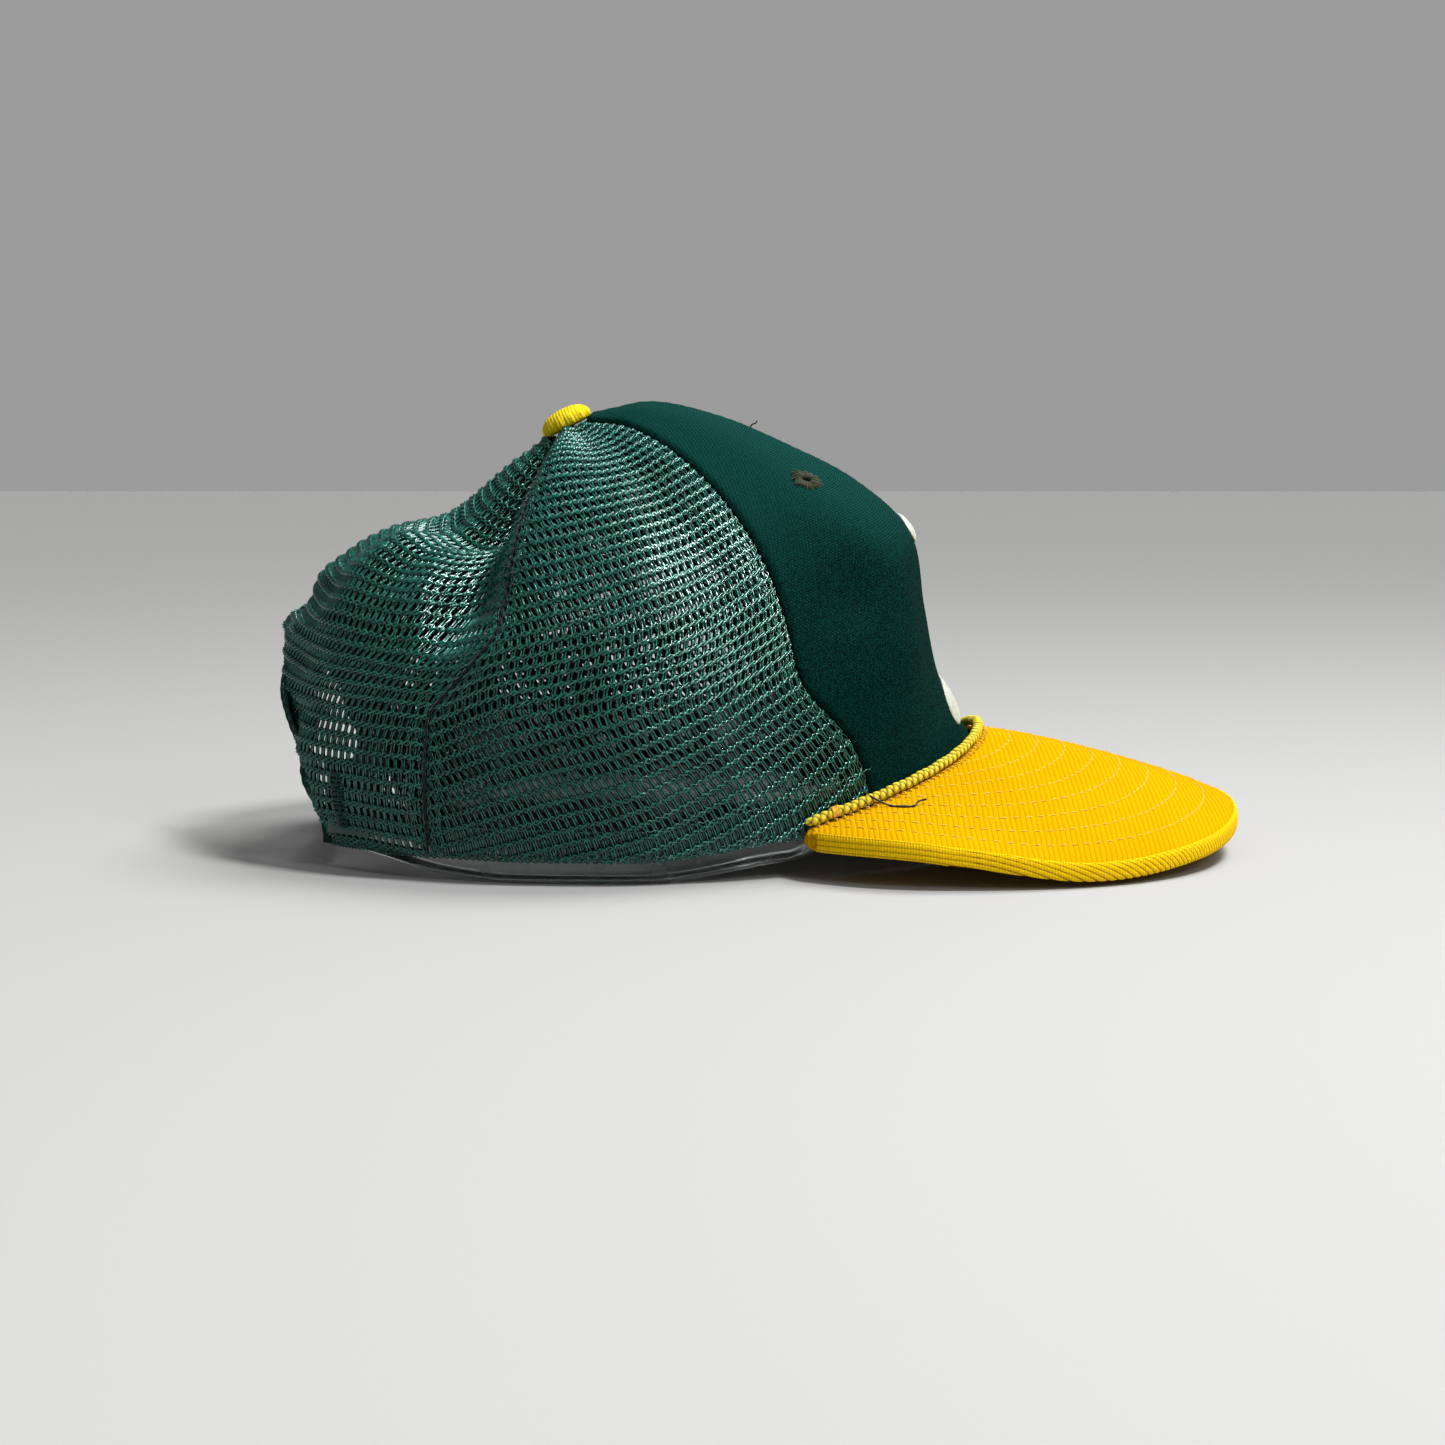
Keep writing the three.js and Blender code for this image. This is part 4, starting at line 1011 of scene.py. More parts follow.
def bill_top():
    side = bill_sides(328)[:, None]
    share = np.linspace(0, 1, 150)[None, :]
    width = bill_width(side)
    inset = .9 + (width - 1.5) * (1 - share)
    edge_roll = .55 * np.clip(1 - (inset - .9) / .9, 0, 1) ** 2
    outer = bill_at(side, 1, inset, edge_roll - quilting(inset) * ramp(.3, 4, width - inset))
    outer[..., 2] += sag(outer) * ramp(2, 12, inset)
    inner = bill_at(side, 1, inset, TOP_INNER)
    return add_plate("bill_top_cloth", outer, inner, BILL_CLOTH, "bill_cloth", rib_weave(outer), True,
                     replaces=["visor_top_cover"])


RIM_RIB, RIM_RELIEF = 1.3, .2
RIM_SECTION = [(1.55, .95), (1.15, .28), (.72, -.06), (.28, .28), (.03, 1.1), (0, 2.2), (.06, 3.3), (.4, 4.1),
               (1.1, 4.5), (2.2, 4.45)]
RIM_INSIDE = [(1.75, 1.15), (1.3, .95), (.95, .85), (.72, 1.0), (.6, 1.5), (.58, 2.2), (.64, 2.9), (.85, 3.4),
              (1.25, 3.7), (2.2, 3.7)]


def section_curve(section, count):
    points = np.array([(a, b, 0) for a, b in section], float)
    return spline(points, count)[:, :2]


def bill_under():
    """The lower cover, up to the fold round the edge."""
    side = bill_sides(340)[:, None]
    inset = 1.6 + (bill_width(side) - 2.4) * np.linspace(0, 1, 100)[None, :]
    to_seam = bill_width(side) - inset
    outer = bill_at(side, 1, inset, UNDER_OUTER + quilting(inset) * .6 * ramp(.3, 4, to_seam))
    inner = bill_at(side, 1, inset, UNDER_INNER)
    return add_plate("bill_under_cloth", outer, inner, BILL_CLOTH, "bill_cloth", rib_weave(outer),
                     replaces=["visor_under_cover"])


def bill_rim():
    """The ribbed cloth rolled round the edge of the bill."""
    side = bill_sides(1250)[:, None]
    nx, _ = outward(side)
    curve, inside = section_curve(RIM_SECTION, 36), section_curve(RIM_INSIDE, 36)
    down = distances(curve)[None, :]
    base = bill_at(side, 1, curve[None, :, 0], curve[None, :, 1])
    weave = rib_weave(base, down, nx)
    parallel = np.abs(side) > BILL_RETURN
    weave[..., 1] = np.where(parallel, np.sign(side) * (BILL_HALF_WIDTH + down), weave[..., 1])
    rib = np.abs(np.sin(np.pi * weave[..., 1] / RIM_RIB)) ** .6
    swell = (rib * RIM_RELIEF)[..., None] * unit(curve - inside)[None]
    outer = bill_at(side, 1, curve[None, :, 0] + swell[..., 0], curve[None, :, 1] + swell[..., 1])
    inner = bill_at(side, 1, inside[None, :, 0], inside[None, :, 1])
    weave[..., 2] = rib
    return add_plate("bill_rim_cloth", outer, inner, RIM_CLOTH, "bill_cloth", weave)


def dashes(points, normals, length=2.7, gap=.75, radius=.24, lift=.12, dip=.3, sides=6):
    """Thread that comes up through cloth for each dash along a route."""
    distance = distances(points)
    tubes = []
    start = gap
    while start + length < distance[-1]:
        here = start + length * np.linspace(0, 1, 7)
        route = np.stack([np.interp(here, distance, points[:, k]) for k in range(3)], -1)
        normal = np.stack([np.interp(here, distance, normals[:, k]) for k in range(3)], -1)
        arch = np.sin(np.linspace(0, np.pi, 7)) ** .5
        route = route + normal * (lift * arch - dip * (1 - arch))[:, None]
        tubes.append(tube(route, normal, radius * (.55 + .45 * arch), sides))
        start += length + gap
    return tubes


def up_normals(points):
    normals = np.zeros_like(points)
    normals[:, 2] = 1
    return normals


def bill_stitching():
    tubes = []
    side = bill_sides(1200, .93)
    width = bill_width(side)
    for inset in ROW_INSETS:
        for depth, way in ((-.02, 1), (4.5, -1)):
            fits = width - inset > 4
            for run in np.split(np.arange(len(side)), np.flatnonzero(np.diff(fits.astype(int))) + 1):
                if not fits[run[0]] or len(run) < 20:
                    continue
                points = bill_at(side[run], 1, inset, depth)
                if way > 0:
                    points[:, 2] += sag(points)
                tubes += dashes(points, up_normals(points) * way)
    return add_threads("bill_stitching", tubes, BILL_STITCH, "bill_cloth")


def braid(points, normals, radius, pitch=1.2, strands=2, turns=32, taper=2.5):
    """A cord plaited from strands that pass over and under each other."""
    length = distances(points)
    around = np.linspace(0, 2 * np.pi, turns, endpoint=False)
    turn = around[None, :]
    a = length[:, None] / (2 * pitch) + strands * turn / (2 * np.pi)
    b = length[:, None] / (2 * pitch) - strands * turn / (2 * np.pi)
    over = (np.floor(a) + np.floor(b)) % 2 == 0
    fa, fb = 2 * (a % 1) - 1, 2 * (b % 1) - 1
    across_strand, along_strand = np.where(over, fb, fa), np.where(over, fa, fb)
    relief = np.sqrt(np.maximum(1 - across_strand ** 2, 0)) * (1 - .45 * along_strand ** 4)
    end = np.minimum(length, length[-1] - length)
    size = radius * np.clip(end / taper, 0, 1) ** .5
    r = size[:, None] * (.68 + .36 * relief)
    verts = rings_round(points, normals, r, around)
    weave = np.stack([length[:, None] + 0 * turn, turn + 0 * r, relief], -1)
    return verts.reshape(-1, 3), ring_faces(len(points), turns).reshape(-1, 4), weave.reshape(-1, 3)


ROPE_RADIUS, ROPE_CLEAR, ROPE_END = 1.35, .4, .985
TACK_AT, TACK_STEP, TACK_REACH = .9, .0032, 1.62    # along the seam, loop to loop, round the rope


def rope_centre(side):
    """The rope's middle line at stations along the bill's seam."""
    points = bill_at(side, 0, -(ROPE_RADIUS + ROPE_CLEAR), 0)
    points[:, 2] = bill_seam_height(side) + ROPE_RADIUS + ROPE_CLEAR
    return points


def rope_route(count):
    side = np.linspace(-ROPE_END, ROPE_END, count)
    points = rope_centre(side)
    points[:, 2] += .12 * np.sin(side * 61)
    return side, points


def from_seam(side):
    """The way from the bill's seam to its edge."""
    return unit(bill_at(side, 0, -4, 0) - bill_at(side, 0, -1, 0))


def brim_rope():
    _, points = rope_route(1500)
    verts, faces, weave = braid(points, up_normals(points), ROPE_RADIUS)
    return add_piece("brim_rope_braid", verts, faces, ROPE, "bill_rope", replaces=["brim_rope"], weave=weave)


def rope_stitches():
    """Small slanting stitches along the rope's foot."""
    side, points = rope_route(400)
    out = from_seam(side)
    tubes = []
    for k in range(6, 394, 5):
        foot = points[k] + out[k] * 1.25 - (0, 0, 1.35)
        route = np.array([foot, foot + out[k] * .75 + (0, 0, .25), foot + out[k] * 1.25 - (0, 0, .4)])
        route[1:] += (points[k + 1] - points[k]) * .8
        tubes.append(tube(route, up_normals(route), .22, 5))
    return add_threads("rope_stitches", tubes, BILL_STITCH, "bill_rope")


def rope_tack(name, side):
    """A bar of close loops that holds the rope's end down."""
    tubes = []
    turn = np.radians(np.linspace(-25, 128, 11))
    for k in range(7):
        here = np.array([side * (TACK_AT + (k - 3) * TACK_STEP)])
        centre, out = rope_centre(here)[0], from_seam(here)[0]
        out[2] = 0
        out = unit(out)
        loop = np.cos(turn)[:, None] * out + np.sin(turn)[:, None] * np.array([0, 0, 1.])
        route = centre + TACK_REACH * loop
        tubes.append(tube(route, route - centre, .22, 5))
    return add_threads(f"rope_bar_{name}", tubes, BILL_STITCH, "bill_rope", replaces=[f"rope_tack_{name}"])


def bill_corner(name, hand):
    """Cloth tucked over the open end of the bill at its corner."""
    share = np.linspace(0, 1, 26)[:, None]
    turn = np.linspace(0, np.pi, 20)[None, :]
    reach = 1 - (1 - share) ** 1.5
    side = hand * (BILL_END - .004 + .022 * np.sin(turn) * np.sin(np.pi * np.clip(share, .06, .94)) ** .4)
    width = bill_width(side)
    outer = bill_at(side, 1, .3 + (width - .6) * (1 - reach), BOARD_MIDDLE - 2.3 * np.cos(turn))
    inner = bill_at(side - hand * .012, 1, .9 + (width - 1.8) * (1 - reach),
                    BOARD_MIDDLE - 1.6 * np.cos(turn))
    return add_plate(f"bill_corner_{name}", outer, inner, BILL_CLOTH, "bill_cloth", rib_weave(outer),
                     hand > 0)


bill_top()
bill_under()
bill_rim()
bill_stitching()
brim_rope()
rope_stitches()
for side_name, side_sign in SIDES:
    rope_tack(side_name, side_sign)
    bill_corner(side_name, side_sign)
paint_node("visor_board", BOARD)


# ---- sweatband, label and arch ------------------------------------------------------------------
BAND_DEPTH, BAND_WALL, BAND_HEIGHT, BAND_END = 5.4, .9, 32.0, 142.0
BAND_NARROWS, BAND_RISES = .45, 5.2     # towards its ends, which are tucked up by the opening
LIP_REACH, LIP_HEIGHT = 1.7, 1.4


BAND_SECTION = [
    (0, .15), (LIP_REACH, .05), (LIP_REACH + .1, .9), (.9, LIP_HEIGHT), (.05, LIP_HEIGHT + 1.2), (0, 9),
    (.08, 18), (0, 26), (.02, BAND_HEIGHT - .4), (-.45, BAND_HEIGHT), (.05 - BAND_WALL, BAND_HEIGHT - .4),
    (-BAND_WALL, 26), (.08 - BAND_WALL, 16), (-BAND_WALL, 6), (-BAND_WALL, .8), (-BAND_WALL / 2, .1),
]
LABEL_ANGLES, LABEL_LOW, LABEL_TALL, LABEL_DEPTH, LABEL_THICK = (116, 126), 8, 17, 6.65, .3


def band_low(angle):
    return hem_height(angle) - HEM_Z


def sweatband():
    """A thin clear band with a lip along its foot."""
    angle = np.linspace(-BAND_END, BAND_END, 420)[:, None]
    section = section_curve(BAND_SECTION, 70)
    ripple = .35 * np.sin(np.radians(angle * 8.0)) * np.sin(section[None, :, 1] * .14)
    taper = 1 - BAND_NARROWS * ramp(BAND_END - 30, BAND_END, np.abs(angle))
    rise = BAND_RISES * ramp(BAND_END - 34, BAND_END, np.abs(angle))
    points = crown.wall(angle, band_low(angle) + rise + section[None, :, 1] * taper,
                        BAND_DEPTH - section[None, :, 0] + ripple * .5)
    count = points.shape[1]
    ring = grid_faces(len(angle), count, flip=True)
    c = np.arange(len(angle) - 1)
    seam = np.stack([c * count + count - 1, c * count, (c + 1) * count, (c + 1) * count + count - 1], -1)
    faces = np.concatenate([ring, seam]).tolist() + end_faces(len(angle), count)
    return add_piece("clear_sweatband", points, faces, CLEAR, "clear_band", replaces=["sweatband"])


def care_label():
    angle = np.linspace(*LABEL_ANGLES, 26)[:, None]
    up = np.linspace(0, 1, 40)[None, :]
    curl = .5 * np.sin(np.pi * up) + .25 * np.sin(angle * 1.1)
    z = LABEL_LOW + LABEL_TALL * up
    outer = crown.wall(angle, z, LABEL_DEPTH + curl)
    inner = crown.wall(angle, z, LABEL_DEPTH + LABEL_THICK + curl)
    return add_plate("satin_label", outer, inner, LABEL, "white_thread", flat_weave(outer, 1), True,
                     replaces=["care_label"])


def on_arch(turn, into, depth):
    """A point of the crown beside the arch's edge."""
    return crown.at(*arch_place(turn, into), depth)


ARCH_SECTION = [
    (2.1, .4), (2.2, -.7), (1.2, -1.75), (-.9, -1.6), (-2.3, -1.3), (-2.6, -.75), (-1.2, -.7), (.5, -.6),
    (1.0, -.1), (.5, .8), (-1.2, 1.05), (-2.4, 1.3), (-2.3, 1.75), (-.6, 1.9), (1.3, 1.75), (2.1, .9),
]
ARCH_SQUEEZE = np.array([.8, .55])


def arch_binding():
    """Tape folded over the edge of the rear opening."""
    turn = np.linspace(.008, np.pi - .008, 320)
    section = np.array(ARCH_SECTION) * ARCH_SQUEEZE
    closed = np.concatenate([section, section[:1]])
    closed = smooth_curve(np.arange(len(closed)), closed, np.linspace(0, len(section), 64, endpoint=False))
    pucker = (.2 * np.sin(turn * 95) + .3 * np.sin(turn * 23 + 1))[:, None] * np.ones((1, len(closed)))
    points = on_arch(turn[:, None], closed[None, :, 0] + pucker, closed[None, :, 1])
    count = len(closed)
    length = distances(points[:, 0])
    weave = np.stack([np.broadcast_to(length[:, None], points.shape[:2]),
                      np.broadcast_to(np.arange(count)[None, :] * .3, points.shape[:2]),
                      np.zeros(points.shape[:2])], -1)
    faces = ring_faces(len(turn), count).reshape(-1, 4).tolist() + end_faces(len(turn), count)
    return add_piece("rear_arch_tape", points, faces, TAPE, "seam_tape", replaces=["rear_arch_binding"],
                     weave=weave)


def arch_stitches():
    turn = np.linspace(.03, np.pi - .03, 700)
    tubes = []
    for depth, way in ((-1.35, 1), (1.55, -1)):
        points = on_arch(turn, -1.0, depth * .55)
        normals = (on_arch(turn, 0, 0) - on_arch(turn, 0, 1)) * way
        tubes += dashes(points, normals, 2.2, .8, .17, .06, .2, 5)
    return add_threads("arch_stitching", tubes, NET, "seam_tape")


def frayed_knot():
    """Where the back seam meets the arch, its thread ends curl in a woolly lump."""
    tubes = []
    share = np.linspace(0, 1, 8)[:, None]
    for _ in range(210):
        angle, t = 180 + rng.normal(0, 2.6), ARCH_TOP + .025 + rng.normal(0, .02)
        foot, out = crown.at(angle, t, .5), crown.normal(angle, t)
        across, along = local_frame(out)
        turn = rng.uniform(0, 2 * np.pi)
        way = math.cos(turn) * across + math.sin(turn) * along
        reach, rise = rng.uniform(1.0, 3.2), rng.uniform(.5, 2.1)
        curl = way * reach * share + out * rise * np.sin(share * rng.uniform(2.0, 3.2))
        curl += np.cross(out, way) * .8 * np.sin(share * 5 + turn)
        tubes.append(tube(foot + curl, np.broadcast_to(out, curl.shape), .4 * (1.05 - .3 * share[:, 0]), 4))
    return add_threads("frayed_seam_end", tubes, NET, "mesh_knit")


# ---- stitching on the crown ---------------------------------------------------------------------
def seam_stitches():
    """Rows of topstitching beside the front seams, and stitches along the rear seams whose near-black colour
    is painted shade for the seam's groove.
    """
    green, dark = [], []
    t = np.linspace(.006, .9, 900)
    for _, side in SIDES:
        angle, at = beside(centre_front, side, t, 2.6 + 0 * t)
        green += dashes(crown.at(angle, at, .06), crown.normal(angle, at), 2.0, .9, .15, 0, .2, 5)
        angle, at = beside(rear_seam, side, t, 0 * t)
        # Painted shade: these rear-seam stitches are near-black to stand in for the shade in the seam's
        # groove.
        dark += dashes(crown.at(angle, at, .25), crown.normal(angle, at), 2.4, .3, .42, .1, .3, 5)
    add_threads("front_topstitching", green, GREEN_STITCH, "front_cloth")
    add_threads("rear_seam_stitching", dark, SEAM_SHADE_STITCH, "seam_tape")


# where the loose thread lies on the bill, from its start: out, along and above the cloth
LOOSE_PATH = [(4.4, -6.5, .5), (6.0, -9.5, .45), (6.0, -12.8, .6), (4.2, -13.8, 1.1), (3.6, -16, 1.5)]


def loose_threads():
    """A thread end that lies on the bill by the seam, and a stub on the crown's top."""
    start = bill_at(np.array([-.80]), 0, -.2, 0)[0] + (0, 0, 4.0)
    lie = [start, start + (-2.2, -3.0, -1.6)]
    for out, along, rise in LOOSE_PATH:
        near = start + (-out * .75, along, 0)
        near[2] = bill_height(near[0], near[1]) + rise
        lie.append(near)
    lie = spline(lie, 60)
    tubes = [tube(lie, up_normals(lie), .26 + .03 * np.sin(np.arange(60)), 6)]
    foot = crown.at(-3.0, .69, .2)
    stub = spline([foot, foot + (-.3, -.6, .9), foot + (-.6, -1.5, 1.2), foot + (-.5, -2.0, 1.9)], 14)
    tubes.append(tube(stub, np.broadcast_to((1., 0, 0), stub.shape), .22, 6))
    return add_threads("loose_threads", tubes, DARK_STITCH, "seam_tape")


def bill_height(x, y):
    """The bill's top at a place, from the nearest of a grid of its points."""
    side = np.linspace(-1, 1, 401)[:, None]
    grid = bill_at(side, np.linspace(0, 1, 161)[None, :], 0, 0).reshape(-1, 3)
    return grid[np.argmin((grid[:, 0] - x) ** 2 + (grid[:, 1] - y) ** 2), 2]


# ---- button, eyelets and embroidery -------------------------------------------------------------
BUTTON_TILT = math.radians(27)
BUTTON_CLEAR = -.3
BUTTON_PROFILE = [(0, .9), (3.4, .75), (5.6, .35), (6.55, .75), (7.0, 1.9), (6.75, 3.1), (5.5, 4.4),
                  (3.4, 5.25), (1.5, 5.55), (0, 5.6)]


def local_frame(normal):
    """Two directions square to a normal."""
    across = unit(np.cross((0., 1., 0.), normal))
    return across, np.cross(normal, across)


def button():
    """Cloth pulled tight over a dome, gathered underneath."""
    axis = np.array([0, math.sin(BUTTON_TILT), math.cos(BUTTON_TILT)])
    across, along = local_frame(axis)
    base = APEX + axis * BUTTON_CLEAR
    profile = section_curve(BUTTON_PROFILE, 60)
    turn = np.linspace(0, 2 * np.pi, 160, endpoint=False)[:, None]
    r, h = profile[None, :, 0], profile[None, :, 1]
    edge = np.exp(-((h - 1.6) / 1.5) ** 2) * ramp(4, 6.3, r)
    fold = (.22 * np.cos(turn * 13) + .12 * np.cos(turn * 29 + 1)) * edge
    rib = .07 * np.abs(np.sin(np.pi * r * np.cos(turn) / .8)) * ramp(2.2, 3.2, h)
    r = r + fold + rib * .5
    h = h + rib + 0 * turn
    points = (base + r[..., None] * (np.cos(turn)[..., None] * across + np.sin(turn)[..., None] * along)
              + h[..., None] * axis)
    weave = np.stack([r * np.sin(turn), r * np.cos(turn) + h * np.cos(turn) * .6, 0 * r], -1)
    count = points.shape[1]
    faces = grid_faces(160, count, closed=True)
    return add_piece("button_cloth", points, faces, BUTTON_CLOTH, "button_cloth", replaces=["button_cover"],
                     weave=weave)


def eyelet(name, side):
    """A worn ring of satin stitches."""
    angle = side * EYELET_ANGLE
    normal = crown.normal(float(angle), EYELET_T)
    centre = crown.at(float(angle), EYELET_T)
    across, along = local_frame(normal)
    tubes = []
    count = 58
    for k in range(count):
        turn = 2 * np.pi * k / count + rng.normal(0, .03)
        way = math.cos(turn) * across + math.sin(turn) * along
        slant = -math.sin(turn) * across + math.cos(turn) * along
        inner, outer = 1.65 + rng.normal(0, .12), EYELET_RADIUS - .1 + rng.normal(0, .28)
        rise = .34 + rng.normal(0, .1)
        route = [centre + way * inner - normal * 1.1, centre + way * (inner - .1) + normal * rise * .5,
                 centre + way * (inner + .6) + normal * rise, centre + way * (outer - .6) + normal * rise * .9
                 + slant * .15, centre + way * outer + normal * .12 + slant * .2,
                 centre + way * (outer + .1) - normal * .5 + slant * .2]
        route = spline(route, 12)
        tubes.append(tube(route, np.broadcast_to(slant, route.shape), .235, 5))
    add_threads(f"eyelet_stitches_{name}", tubes, OLIVE_STITCH, "olive_thread",
                replaces=[f"eyelet_{name}"])


def satin_bar(name, node, low, high, half_angle):
    """A raised bar of close upright satin stitches."""
    angle = np.linspace(-half_angle, half_angle, 2 * int(half_angle * 14))[:, None]
    share = np.linspace(0, 1, 22)[None, :]
    round_end = np.sqrt(np.clip(1 - np.clip((np.abs(angle) - half_angle + 4) / 4, 0, 1) ** 2, .02, 1))
    middle = (low + high) / 2
    t = middle + (share - .5) * (high - low) * round_end
    dome = np.sin(np.pi * np.clip(share, .02, .98)) ** .45 * round_end
    thread_ridge = .24 * np.abs(np.sin(np.arange(len(angle)) * np.pi / 8))[:, None]
    ragged = rng.normal(0, .0006, (len(angle), 1)).repeat(22, 1) * (share - .5) * 2
    outer = crown.at(angle, t + ragged, -.1 - (1.05 + thread_ridge) * dome)
    inner = crown.at(angle, t + ragged, -.02)
    add_plate(name, outer, inner, WHITE_STITCH, "white_thread", flat_weave(outer, 1), replaces=[node])


# ---- the closure --------------------------------------------------------------------------------
STRAP_HINGE_X, STRAP_MID_Z, STRAP_LENGTH = 43.0, 18.5, 70.0
STRAP_THICK, SNAP_PITCH, SNAP_COUNT, SNAP_HOLE, PEG_RADIUS = 1.3, 7.5, 6, 2.6, 2.0
STRAP_ROOT, STRAP_WIDTH = 18.0, 13.0
PEG_PROFILE = [(0, .2), (PEG_RADIUS - .1, .2), (PEG_RADIUS - .1, 1.9), (PEG_RADIUS + .15, 2.3),
               (PEG_RADIUS + .1, 2.8), (PEG_RADIUS - .6, 3.15), (0, 3.2)]
STRAP_BEVEL, HOLE_PLANE_Y, PEG_PLANE_Y = .28, 110.2, 108.6


def strap_path(side, plane_y):
    """The strap's middle line: along the wall, then straight across the opening."""
    angle = np.linspace(132.5, 143.5, 12)
    wall = crown.wall(side * angle, STRAP_MID_Z + 0 * angle, 2.85)
    hinge = np.array([side * STRAP_HINGE_X, plane_y, STRAP_MID_Z])
    tip = hinge - (side * STRAP_LENGTH, 0, 0)
    knots = list(wall[:-1]) + [hinge + (side * 1.5, 0, 0), hinge, hinge - (side * 3.0, 0, 0), tip]
    return np.array(knots)


def strap_half_width(distance):
    """Half the width at a distance past the hinge, with a round end."""
    neck = STRAP_ROOT + (STRAP_WIDTH - STRAP_ROOT) * ramp(0, 10, distance)
    tip = np.clip(1 - np.clip((distance - STRAP_LENGTH + 6.5) / 6.5, 0, .999) ** 2, 0, 1)
    return neck / 2 * np.sqrt(tip)


def strap_sheet(side, plane_y, holes):
    """The strap's flat outline with its holes, bent to its path: points and faces."""
    knots = strap_path(side, plane_y)
    length = distances(knots)
    hinge_at = length[-1] - STRAP_LENGTH
    snaps = [hinge_at + STRAP_HINGE_X + (i - (SNAP_COUNT - 1) / 2) * SNAP_PITCH for i in range(SNAP_COUNT)]
    rows = np.linspace(-1, 1, 9)
    points, faces, index = [], [], {}

    def vertex(l, z):
        key = (round(l, 4), round(z, 4))
        if key not in index:
            index[key] = len(points)
            points.append((l, z))
        return index[key]

    def strip(a, b, steps):
        cuts = np.linspace(a, b, steps + 1)
        for low, high in zip(cuts[:-1], cuts[1:]):
            for below, above in zip(rows[:-1], rows[1:]):
                faces.append([corner(low, below), corner(high, below), corner(high, above),
                              corner(low, above)])

    def half_at(l):
        return float(strap_half_width(l - hinge_at))

    def corner(l, row):
        return vertex(l, row * half_at(l))

    def cell(centre):
        low, high = centre - SNAP_PITCH / 2, centre + SNAP_PITCH / 2
        across = np.linspace(low, high, 9)
        border = [(x, -1) for x in across] + [(high, z) for z in rows[1:]]
        border += [(x, 1) for x in across[-2::-1]] + [(low, z) for z in rows[-2:0:-1]]
        border = [(x, z * half_at(x)) for x, z in border]
        for k in range(len(border)):
            pair = (border[k], border[(k + 1) % len(border)])
            inner = []
            for x, z in pair:
                reach = math.hypot(x - centre, z)
                inner.append((centre + (x - centre) / reach * SNAP_HOLE, z / reach * SNAP_HOLE))
            faces.append([vertex(*pair[0]), vertex(*pair[1]), vertex(*inner[1]), vertex(*inner[0])])

    first = snaps[0] - SNAP_PITCH / 2
    strip(0, first, 34)
    if holes:
        for snap in snaps:
            cell(snap)
    else:
        strip(first, snaps[-1] + SNAP_PITCH / 2, 24)
    strip(snaps[-1] + SNAP_PITCH / 2, length[-1] - .02, 8)
    flat = np.array(points)
    middle = smooth_curve(length, knots, flat[:, 0])
    middle[:, 2] += flat[:, 1]
    return middle, faces, [smooth_curve(length, knots, np.array([s]))[0] for s in snaps]


def peg(centre, turns=28):
    """A turned snap peg that points to +Y."""
    turn = np.linspace(0, 2 * np.pi, turns, endpoint=False)[:, None, None]
    profile = np.array(PEG_PROFILE)
    r, h = profile[None, :, :1], profile[None, :, 1:]
    across, along, axis = np.array([(1., 0, 0), (0, 0, -1.), (0, 1., 0)])
    points = centre + r * (np.cos(turn) * across + np.sin(turn) * along) + h * axis
    return points.reshape(-1, 3), grid_faces(turns, len(profile), closed=True)


def solidify(obj, thickness, bevel):
    """Gives a sheet its thickness and rounds its edges."""
    solid = obj.modifiers.new("thickness", "SOLIDIFY")
    solid.thickness, solid.offset = thickness * MM, 0
    edge = obj.modifiers.new("edges", "BEVEL")
    edge.width, edge.segments, edge.limit_method = bevel * MM, 3, "ANGLE"
    edge.angle_limit = math.radians(50)
    mesh = bpy.data.meshes.new_from_object(obj.evaluated_get(bpy.context.evaluated_depsgraph_get()))
    obj.modifiers.clear()
    obj.data = mesh


def strap(name, side, plane_y, holes, nodes):
    points, faces, snaps = strap_sheet(side, plane_y, holes)
    piece = add_piece(name, points, faces, PLASTIC, "strap_plastic", body=None)
    bpy.context.view_layer.update()
    solidify(piece, STRAP_THICK, STRAP_BEVEL)
    if not holes:
        grown = bmesh.new()
        grown.from_mesh(piece.data)
        for snap in snaps:
            pin, pin_faces = peg(snap)
            verts = [grown.verts.new(p * MM) for p in pin]
            for face in pin_faces:
                corners = [verts[i] for i in face]
                grown.faces.new(corners).smooth = True
        bmesh.ops.remove_doubles(grown, verts=grown.verts, dist=1e-6)
        grown.to_mesh(piece.data)
        grown.free()
    piece.data.shade_smooth()
    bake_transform(piece)
    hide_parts(*nodes)
    return piece


def strap_bar(name, side):
    """The bar tack that holds a strap to the net."""
    tubes = []
    for k in range(24):
        z = 11.5 + 14 * k / 23
        angle = side * np.linspace(136.7, 139.3, 6)
        lift = np.array([.5, -.65, -.8, -.8, -.65, .5])
        route = crown.wall(angle, z + .25 * (-1) ** k + 0 * angle, lift)
        tubes.append(tube(route, np.broadcast_to((0., 0., 1.), route.shape), .3, 5))
    add_threads(f"strap_bar_{name}", tubes, GREEN_STITCH, "olive_thread", replaces=[f"strap_tack_{name}"])


sweatband()
care_label()
arch_binding()
arch_stitches()
frayed_knot()
seam_stitches()
loose_threads()
button()
for side_name, side_sign in SIDES:
    eyelet(side_name, side_sign)
    strap_bar(side_name, side_sign)
satin_bar("emblem_bar_high", "emblem_upper_bar", .355, .405, 14)
satin_bar("emblem_bar_low", "emblem_lower_bar", .04, .11, 15)
strap("strap_with_holes", 1, HOLE_PLANE_Y, True, ["strap_hole_half", "strap_hole_tab"])
strap("strap_with_pegs", -1, PEG_PLANE_Y, False, ["strap_peg_half", "strap_peg_tab"])
paint_node("button_shank", STEEL)


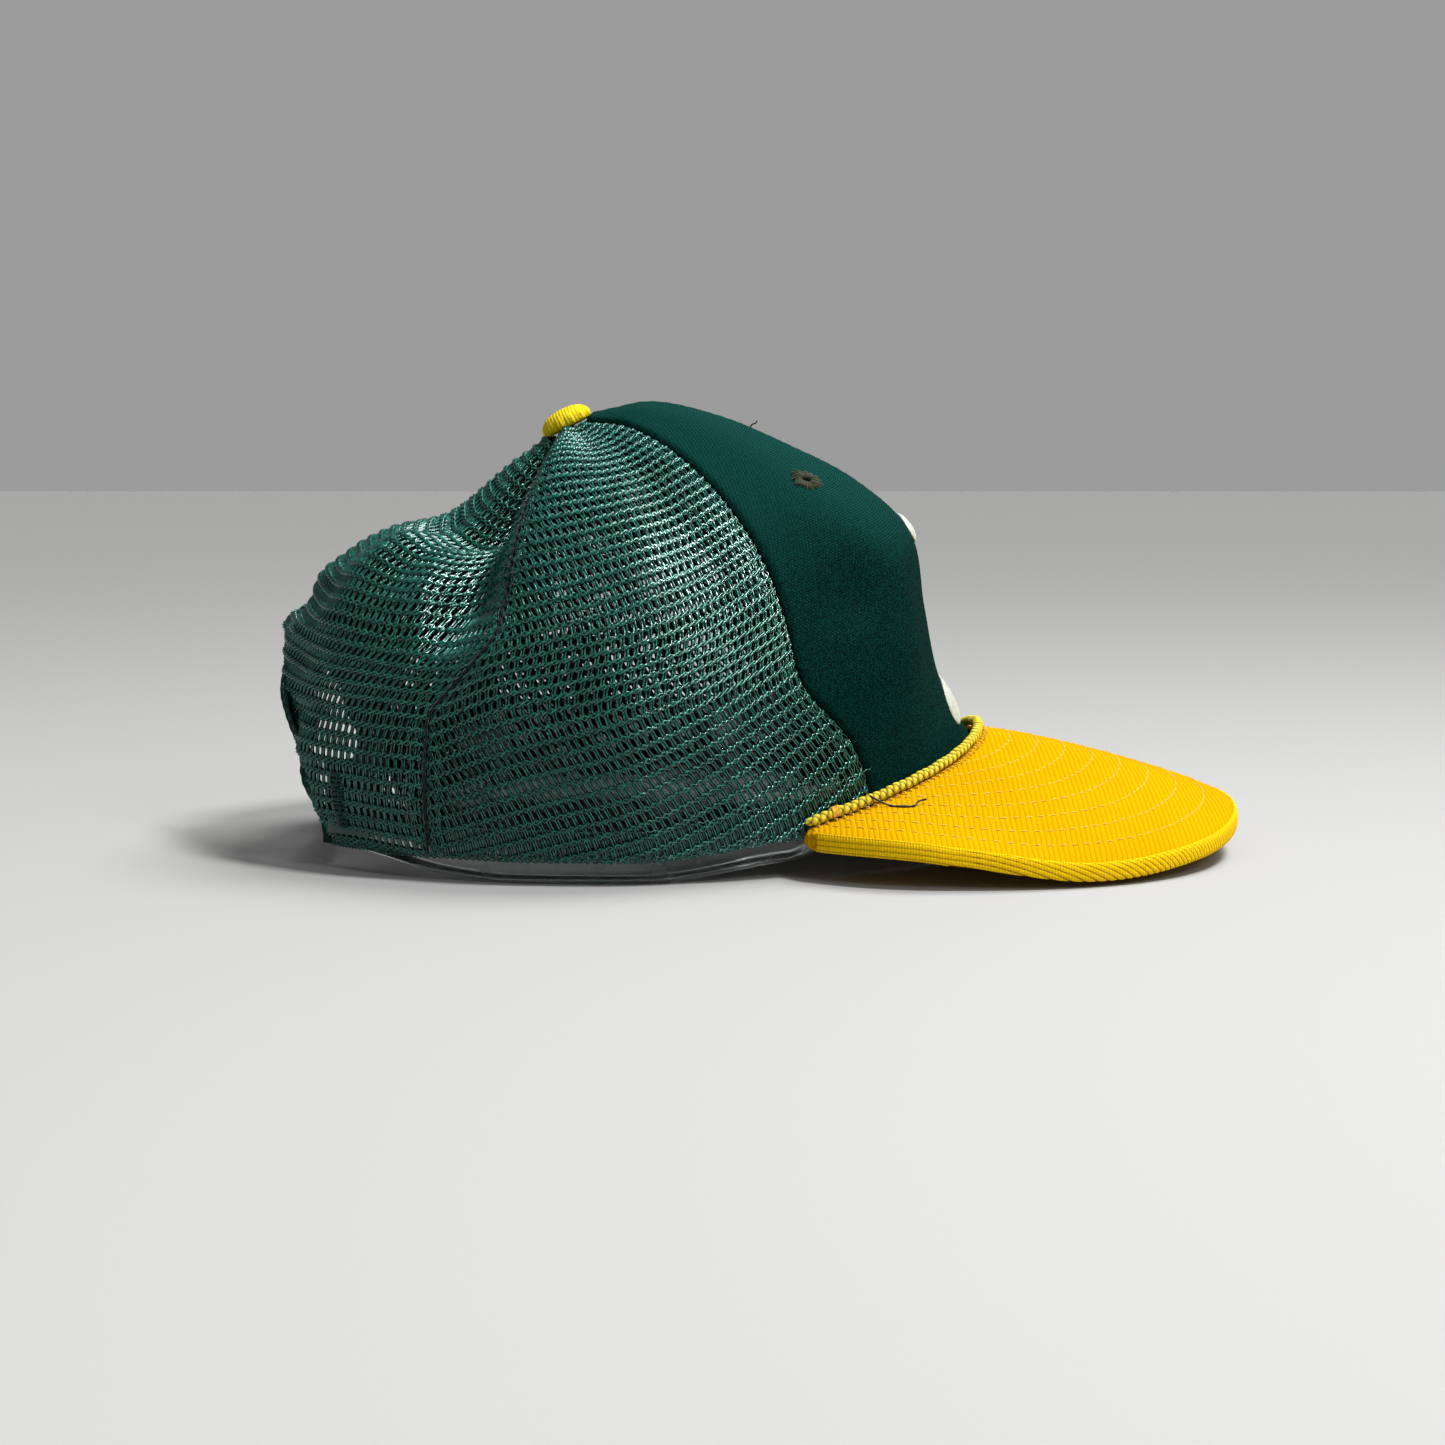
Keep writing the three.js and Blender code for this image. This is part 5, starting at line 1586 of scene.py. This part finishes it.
# ---- floor, light and camera --------------------------------------------------------------------
FLOOR_SIZE = 12
LIGHT_TARGET = (0, 0, .06)
WORLD_GRADE = {"From Min": -.8, "From Max": .5, "To Min": .15, "To Max": .33}
KEY_STRENGTH, KEY_ANGLE, KEY_WAY = 2.4, math.radians(30), (.32, -.38, .86)
# name, place, size and power of each small light
GLINTS = [("net_glint", (-.3, -.45, 1.0), (.16, .25), 11.5), ("side_glint", (-.75, -.5, .6), (.06, .3), 1.9)]
LENS, SENSOR = 64.8, 36.0
EYE_PLACE, EYE_TURN = (-.718, .0105, .108), (math.radians(84), 0, math.radians(-90))


def paper():
    return Look("paper", (.42, .42, .415), .9, Specular_IOR_Level=.1).material


def floor():
    bpy.ops.mesh.primitive_plane_add(size=FLOOR_SIZE, location=(0, 0, 0))
    plane = bpy.context.object
    plane.name = "studio_floor"
    plane.data.materials.append(paper())


def area_light(name, place, size, power):
    data = bpy.data.lights.new(name, "AREA")
    data.shape = "RECTANGLE"
    data.size, data.size_y = size
    data.energy = power
    light = bpy.data.objects.new(name, data)
    bpy.context.scene.collection.objects.link(light)
    light.location = place
    light.rotation_euler = (Vector(LIGHT_TARGET) - Vector(place)).to_track_quat("-Z", "Y").to_euler()


def studio():
    world = bpy.data.worlds.new("studio")
    world.use_nodes = True
    nodes, links = world.node_tree.nodes, world.node_tree.links
    way = nodes.new("ShaderNodeTexCoord").outputs["Generated"]
    apart = nodes.new("ShaderNodeSeparateXYZ")
    grade = nodes.new("ShaderNodeMapRange")
    for key, value in WORLD_GRADE.items():
        grade.inputs[key].default_value = value
    links.new(way, apart.inputs[0])
    links.new(apart.outputs["X"], grade.inputs["Value"])
    links.new(grade.outputs[0], nodes["Background"].inputs["Strength"])
    nodes["Background"].inputs["Color"].default_value = (1, 1, 1, 1)
    bpy.context.scene.world = world
    sun = bpy.data.objects.new("key", bpy.data.lights.new("key", "SUN"))
    sun.data.energy, sun.data.angle = KEY_STRENGTH, KEY_ANGLE
    sun.rotation_euler = Vector(KEY_WAY).to_track_quat("Z", "Y").to_euler()
    bpy.context.scene.collection.objects.link(sun)
    for name, place, size, power in GLINTS:
        area_light(name, place, size, power)


def camera():
    bpy.context.scene.view_settings.view_transform = "Standard"
    data = bpy.data.cameras.new("camera")
    data.lens, data.sensor_width = LENS, SENSOR
    eye = bpy.data.objects.new("camera", data)
    bpy.context.scene.collection.objects.link(eye)
    eye.location, eye.rotation_euler = EYE_PLACE, EYE_TURN
    bpy.context.scene.camera = eye


floor()
studio()
camera()
